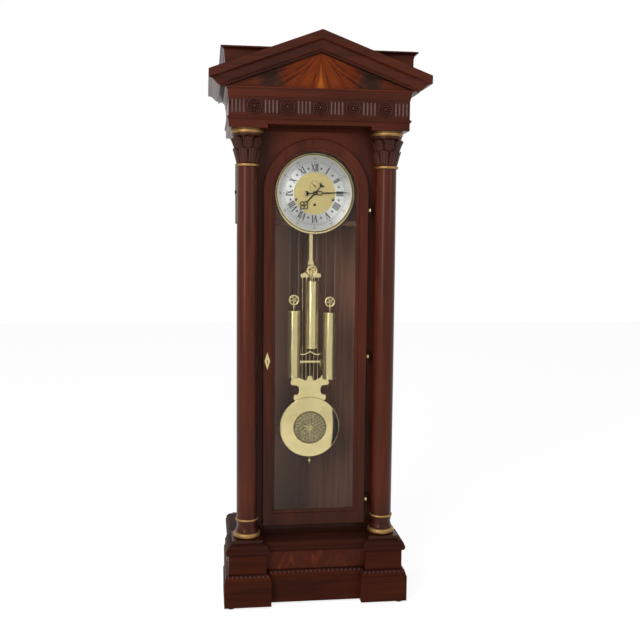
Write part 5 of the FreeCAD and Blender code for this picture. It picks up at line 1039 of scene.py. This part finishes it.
class CLOCK_OT_weights(bpy.types.Operator):
    """Turn the brass weights, with their stirrups and spoked pulleys"""

    bl_idname = "clock.weights"
    bl_label = "Weights"

    def execute(self, context):
        brass = context.scene.clock_colours.brass
        lacquered = metal("weight_brass", darkened(brass, 0.1), rough=0.17, mottle_mm=60.0, metallic=0.78)
        bright = metal("pulley_brass", brass, rough=0.3, mottle_mm=20.0, metallic=0.7)
        for side in SIDES:
            low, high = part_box(f"weight_{side}")
            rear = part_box(f"pulley_{side}")[1]
            pin = middle_of(f"pulley_{side}")
            half = rear.y - pin.y
            mesh = gather(self.weight(pin, low.z, (high.x - low.x) / 2, half))
            weight = piece(f"turned_weight_{side}", *mesh, lacquered, f"weight_{side}", "polished_brass")
            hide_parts(f"weight_{side}")
            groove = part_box(f"cable_{side}")[1].x - pin.x - GROOVE_DEPTH
            mesh = gather(self.pulley(pin, rear.x - pin.x, groove, half))
            pulley = piece(f"spoked_pulley_{side}", *mesh, bright, f"pulley_{side}", "polished_brass")
            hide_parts(f"pulley_{side}")
        return {"FINISHED"}

    def weight(self, pin, low, radius, half):
        """Turned shell between two end caps, then a stem, a yoke under the wheel, two thin straps and the pin."""
        stem, thin, eye, thick = 0.0022, 0.0008, 0.0028, 0.0024
        top, yoke = pin.z - WEIGHT_HANG, pin.z - YOKE_DROP
        girth = radius - np.concatenate([CAP_INSET, CAP_INSET[::-1]])
        level = np.concatenate([low + CAP_RISE, top - CAP_RISE[::-1]])
        parts = [shell(turned(pin.x, pin.y, girth, level), True, True, True)]
        parts.append(shell(turned(pin.x, pin.y, [stem, stem], [top, yoke - 0.003], 16), True))
        reach, strap_y = half + 0.0022, half + 0.0014
        under, over = (pin.x, yoke - 0.0045), (pin.x, yoke + 0.001)
        parts.append(strut(under, over, [0.0024, 0.0046, 0.0050, 0.0036], pin.y, reach))
        for y in (pin.y - strap_y, pin.y + strap_y):
            widths = [0.0030, 0.0017, 0.0014, 0.0014, 0.0014]
            parts.append(strut((pin.x, yoke), (pin.x, pin.z), widths, y, thin))
            parts.append(self.bolt((pin.x, y, pin.z), eye, thin))
        parts.append(self.bolt(pin, thick, reach + 0.002))
        return parts

    def bolt(self, middle, radius, half):
        """Short round bar that points to the front, with flat ends."""
        return shell(spun(middle, [(0.0, half), (radius, half), (radius, -half), (0.0, -half)]), True)

    def pulley(self, pin, radius, groove, half):
        """Wheel with a groove for its cable, five tapered spokes and a hub."""
        inner = groove - 0.0014
        rim = [(radius, half), (radius, 0.75 * half), (groove, 0.4 * half), (groove, -0.4 * half)]
        rim += [(radius, -0.75 * half), (radius, -half), (inner, -half), (inner, half), (radius, half)]
        outer, bore = 0.0040, 0.0028
        hub = [(outer, 0.9 * half), (outer, -0.9 * half), (bore, -half), (bore, half), (outer, 0.9 * half)]
        parts = [shell(spun(pin, outline), True) for outline in (rim, hub)]
        for turn in around(5) + np.pi / 4:
            out = np.array([np.cos(turn), np.sin(turn)])
            start, end = ((pin.x, pin.z) + reach * out for reach in (0.0035, inner + 0.001))
            parts.append(strut(start, end, [0.0027, 0.0024, 0.0021, 0.0027], pin.y, 0.6 * half))
        return parts


class CLOCK_OT_cables(bpy.types.Operator):
    """Hang the weights on their cables"""

    bl_idname = "clock.cables"
    bl_label = "Cables"

    def execute(self, context):
        steel = metal("cable_steel", linear("#8d8272"), rough=0.5, mottle_mm=4.0, metallic=0.5)
        thick = CABLE_RADIUS
        for side in SIDES:
            node, weight = f"cable_{side}", f"weight_{side}"
            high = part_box(node)[1]
            pin = middle_of(f"pulley_{side}")
            middle, y = pin.x, pin.y
            reach = high.x - thick - middle
            places = (middle - reach, middle + reach)
            runs = [shell(turned(x, y, [thick, thick], [pin.z, high.z], 10), True) for x in places]
            run = piece(f"cable_runs_{side}", *gather(runs), steel, None, None)
            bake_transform(run)
            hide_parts(node)
            bight = shell(self.bight(middle, y, pin.z, reach, thick), True)
            piece(f"cable_bight_{side}", *bight, steel, weight, "steel")
        return {"FINISHED"}

    def bight(self, x, y, z, reach, thick):
        """Half ring of cable under a pulley: a small circle carried round a half circle."""
        turn = np.linspace(np.pi, 2 * np.pi, 25)[:, None]
        section = around(10)[None]
        out = reach + thick * np.cos(section)
        return facing(x + out * np.cos(turn), z + out * np.sin(turn), y - thick * np.sin(section))


# Finishes and stage


class CLOCK_OT_case_finish(bpy.types.Operator):
    """Finish the wooden case, its gilding and its glass"""

    bl_idname = "clock.case_finish"
    bl_label = "Case Finish"

    def execute(self, context):
        tones = context.scene.clock_colours
        inner_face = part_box("side_panel_right")[0].x
        liner = by_width(inner_face + 0.001, inner_face + 0.003, tones.inside)
        # Painted shadow under the raking mouldings
        rake_shadow = under_rake(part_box("tympanum")[0].z, *PANEL_SIZE)
        # Face frame: a redder, lighter patch round a point above the door, and painted shade towards its foot
        heart = in_turn(by_reach((0.0, 2.03), 0.05, 0.22, linear("#6e2f1b")), toward_foot(0.29, 0.45, 0.3))
        # Back panel: painted reflection of the glass, a pale band without grain on its left side, and painted
        # shade towards its foot
        painted_reflection_and_foot_shade = in_turn(by_width(-0.14, -0.02, linear("#c0967e"), False), toward_foot(0.3, 1.0, 0.7))
        dull = {"coat": 0.0, "shine": 0.08}
        # Name, axes of the grain, look and nodes of each lacquered finish
        woods = (
            # Painted shade towards the foot of the columns and of the door
            ("upright", "Z", {"dress": toward_foot(0.30, 0.50, 0.42)}, ("column_left", "column_right")),
            ("door", "Z", {"dress": toward_foot(0.35, 1.1, 0.42)}, ("door_frame", "glazing_beads")),
            (
                "sides",
                "Z",
                {"depth": 0.1, "rough": 0.5, "coat": 0.02, "shine": 0.12, "dress": liner},
                ("side_panel_left", "side_panel_right", "side_door_left", "side_door_right"),
            ),
            ("level", "XY", {"depth": 0.31, "coat": 0.08, "shine": 0.16}, ("architrave", "frieze", "attic")),
            # Painted shadow along the lower edge of the raking mouldings
            ("cornice", "XY", {"coat": 0.08, "dress": rake_shadow}, ("cornice",)),
            (
                "base",
                "XY",
                {"depth": 0.32, "rough": 0.45, "dress": dulled(0.12, linear("#3a2a20")), **dull},
                ("base_plinth", "plinth_moulding", "pedestal"),
            ),
            (
                "cap",
                "XY",
                {"depth": 0.62, "rough": 0.5, "dress": dulled(0.3, linear("#2c1f19")), **dull},
                ("pedestal_cap",),
            ),
            ("face_frame", "Z", {"depth": 0.5, "rough": 0.4, "dress": heart}, ("front_frame",)),
        )
        for name, along, look, nodes in woods:
            finish_nodes(lacquered_mahogany(f"mahogany_{name}", along, **look), *nodes)
        finish_nodes(oiled_mahogany("mahogany_inside", tones.inside, painted_reflection_and_foot_shade), "back_panel")
        finish_nodes(oiled_mahogany("mahogany_seat", darkened(tones.inside, 0.45)), "seat_board")
        finish_nodes(flame_veneer("flame_veneer", *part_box("pedestal_panel")), "pedestal_panel")
        finish_nodes(sunburst_veneer("sunburst_veneer", *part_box("tympanum")), "tympanum")
        finish_nodes(metal("aged_gilding", tones.gilding, rough=0.5, mottle_mm=12.0), "gilt_rings")
        finish_nodes(clear_glass("float_glass"), "door_glass")
        return {"FINISHED"}


class CLOCK_OT_works_finish(bpy.types.Operator):
    """Finish the brass, steel and dial pieces"""

    bl_idname = "clock.works_finish"
    bl_label = "Works Finish"

    def execute(self, context):
        tones = context.scene.clock_colours
        pendulum = [name for name in NODES if name.startswith("pendulum_")]
        drums = [name for name in NODES if name.startswith("cable_drum")]
        wheels = [name for name in NODES if name.endswith("_wheel")]
        brasses = (*pendulum, *wheels, "escutcheon", "movement_plates", "door_hinge_leaves")
        # Name, colour, roughness, size of the mottles in mm, share of metal and nodes of each finish
        metals = (
            ("polished_brass", tones.brass, 0.10, 60.0, 1.0, brasses),
            # Aged brass on the case hinges; on the cable drums it is painted shade behind the winding holes
            ("aged_brass", tones.aged_brass, 0.45, 10.0, 1.0, ("case_hinge_leaves", *drums)),
            ("plain_steel", linear("#9b9b99"), 0.3, 20.0, 1.0, ("pallet_anchor", "lock_bolt", "door_lock")),
            ("browned_rods", linear("#7a5d4c"), 0.6, 20.0, 0.2, ("chime_rods",)),
            ("grey_nylon", linear("#55504c"), 0.6, 8.0, 0.0, ("levelling_feet",)),
            ("matt_gilt", tones.dial_gold, 0.45, 5.0, 1.0, ("dial_plate",)),
            ("grey_bronze", tones.bronze, 0.4, 4.0, 1.0, ("bob_medallion",)),
            ("blackened_steel", tones.ink, 0.35, 6.0, 1.0, ("hour_hand", "minute_hand", "seconds_hand")),
        )
        for name, tone, rough, mottle_mm, metallic, nodes in metals:
            finish_nodes(metal(name, tone, rough, mottle_mm, metallic=metallic), *nodes)
        bezel = bezel_brass("bezel_brass", middle_of("dial_bezel"), ring_radius=0.1679, ring_width=0.0044)
        finish_nodes(bezel, "dial_bezel")
        finish_nodes(silvered_brass("silvered_brass", tones.silver), "chapter_ring")
        return {"FINISHED"}


class CLOCK_OT_stage(bpy.types.Operator):
    """Set the floor, the studio light and the camera"""

    bl_idname = "clock.stage"
    bl_label = "Stage"

    def execute(self, context):
        scene = context.scene
        scene.view_settings.view_transform = "Standard"
        self.surround(scene)
        self.floor()
        for name, (place, size) in LAMPS.items():
            self.lamp(name, place, size, getattr(scene.clock_light, name))
        self.camera(scene)
        return {"FINISHED"}

    def seen(self, tree):
        """1 for a ray from the eye, from a mirror or through glass, and 0 for one that only brings light."""
        path = add(tree, "LightPath").outputs
        direct = add(tree, "Math", (path["Is Camera Ray"], path["Is Glossy Ray"]), operation="MAXIMUM")
        return add(tree, "Math", (direct, path["Is Transmission Ray"]), operation="MAXIMUM")

    def surround(self, scene):
        """White studio all round, which lights the clock less than it shows."""
        world = bpy.data.worlds.new("studio")
        scene.world = world
        world.use_nodes = True
        tree = world.node_tree
        tree.nodes.clear()
        strength = add(tree, "MapRange", (self.seen(tree), 0, 1, scene.clock_light.ambient, 1))
        back = add(tree, "Background", {"Color": (1, 1, 1, 1), "Strength": strength})
        add(tree, "OutputWorld", {"Surface": back})

    def floor(self):
        """Pale floor that runs into the white behind it and keeps a soft shadow."""
        material, tree, _ = blank_material("pale_floor")
        matt = add(tree, "BsdfDiffuse", {"Color": (0.9, 0.9, 0.9, 1)})
        white = add(tree, "Emission", {"Color": (1, 1, 1, 1), "Strength": 1.4})
        share = add(tree, "Math", (self.seen(tree), 0.6), operation="MULTIPLY")
        both = add(tree, "MixShader", (share, matt, white))
        add(tree, "OutputMaterial", {"Surface": both})
        corners = np.array([(-1, -1, 0), (1, -1, 0), (1, 1, 0), (-1, 1, 0)]) * FLOOR_HALF
        floor = piece("floor", corners, [(0, 1, 2, 3)], material, None, None, False)

    def lamp(self, name, place, size, power):
        """Soft rectangular lamp aimed at the middle of the clock."""
        data = bpy.data.lights.new(name, "AREA")
        data.shape = "RECTANGLE"
        data.size, data.size_y = size
        data.energy = power
        lamp = bpy.data.objects.new(name, data)
        aim = Vector(LAMP_AIM) - Vector(place)
        lamp.matrix_world = Matrix.Translation(place) @ aim.to_track_quat("-Z", "Y").to_matrix().to_4x4()
        bpy.context.scene.collection.objects.link(lamp)

    def camera(self, scene):
        """Camera at its place, turned by yaw, pitch and roll."""
        yaw, pitch, roll = (math.radians(turn) for turn in (YAW, PITCH, ROLL))
        ahead = Vector((math.sin(yaw) * math.cos(pitch), math.cos(yaw) * math.cos(pitch), math.sin(pitch)))
        right = Vector((math.cos(yaw), -math.sin(yaw), 0))
        up = right.cross(ahead)
        rolled_right = right * math.cos(roll) + up * math.sin(roll)
        rolled_up = up * math.cos(roll) - right * math.sin(roll)
        camera = bpy.data.cameras.new("camera")
        camera.sensor_width = SENSOR_MM
        camera.lens = FOCAL_SHARE * SENSOR_MM
        view = bpy.data.objects.new("camera", camera)
        rotation = Matrix((rolled_right, rolled_up, -ahead)).transposed()
        view.matrix_world = Matrix.Translation(EYE) @ rotation.to_4x4()
        scene.collection.objects.link(view)
        scene.camera = view


class CLOCK_PT_panel(bpy.types.Panel):
    """Pieces, colours and sizes of the clock"""

    bl_idname = "CLOCK_PT_panel"
    bl_label = "Longcase Clock"
    bl_space_type = "VIEW_3D"
    bl_region_type = "UI"
    bl_category = "Clock"

    def draw(self, context):
        for step in STEPS:
            self.layout.operator(step)
        for group in GROUPS:
            holder = getattr(context.scene, group)
            for key in holder.bl_rna.properties.keys():
                if key not in ("rna_type", "name"):
                    self.layout.prop(holder, key)


GROUPS = {"clock_colours": ClockColours, "clock_sizes": ClockSizes, "clock_light": ClockLight}
OPERATORS = (
    CLOCK_OT_stage,
    CLOCK_OT_case_finish,
    CLOCK_OT_works_finish,
    CLOCK_OT_capitals,
    CLOCK_OT_rosettes,
    CLOCK_OT_flutes,
    CLOCK_OT_plinth_carving,
    CLOCK_OT_dial,
    CLOCK_OT_medallion,
    CLOCK_OT_weights,
    CLOCK_OT_cables,
)
STEPS = [operator.bl_idname for operator in OPERATORS]


def register():
    for group in (*GROUPS.values(), *OPERATORS, CLOCK_PT_panel):
        bpy.utils.register_class(group)
    for name, group in GROUPS.items():
        setattr(bpy.types.Scene, name, bpy.props.PointerProperty(type=group))


def unregister():
    for name in GROUPS:
        delattr(bpy.types.Scene, name)
    for group in (CLOCK_PT_panel, *reversed(OPERATORS), *reversed(GROUPS.values())):
        bpy.utils.unregister_class(group)


def main():
    register()
    for step in STEPS:
        area, name = step.split(".")
        getattr(getattr(bpy.ops, area), name)()


if __name__ == "__main__":
    main()
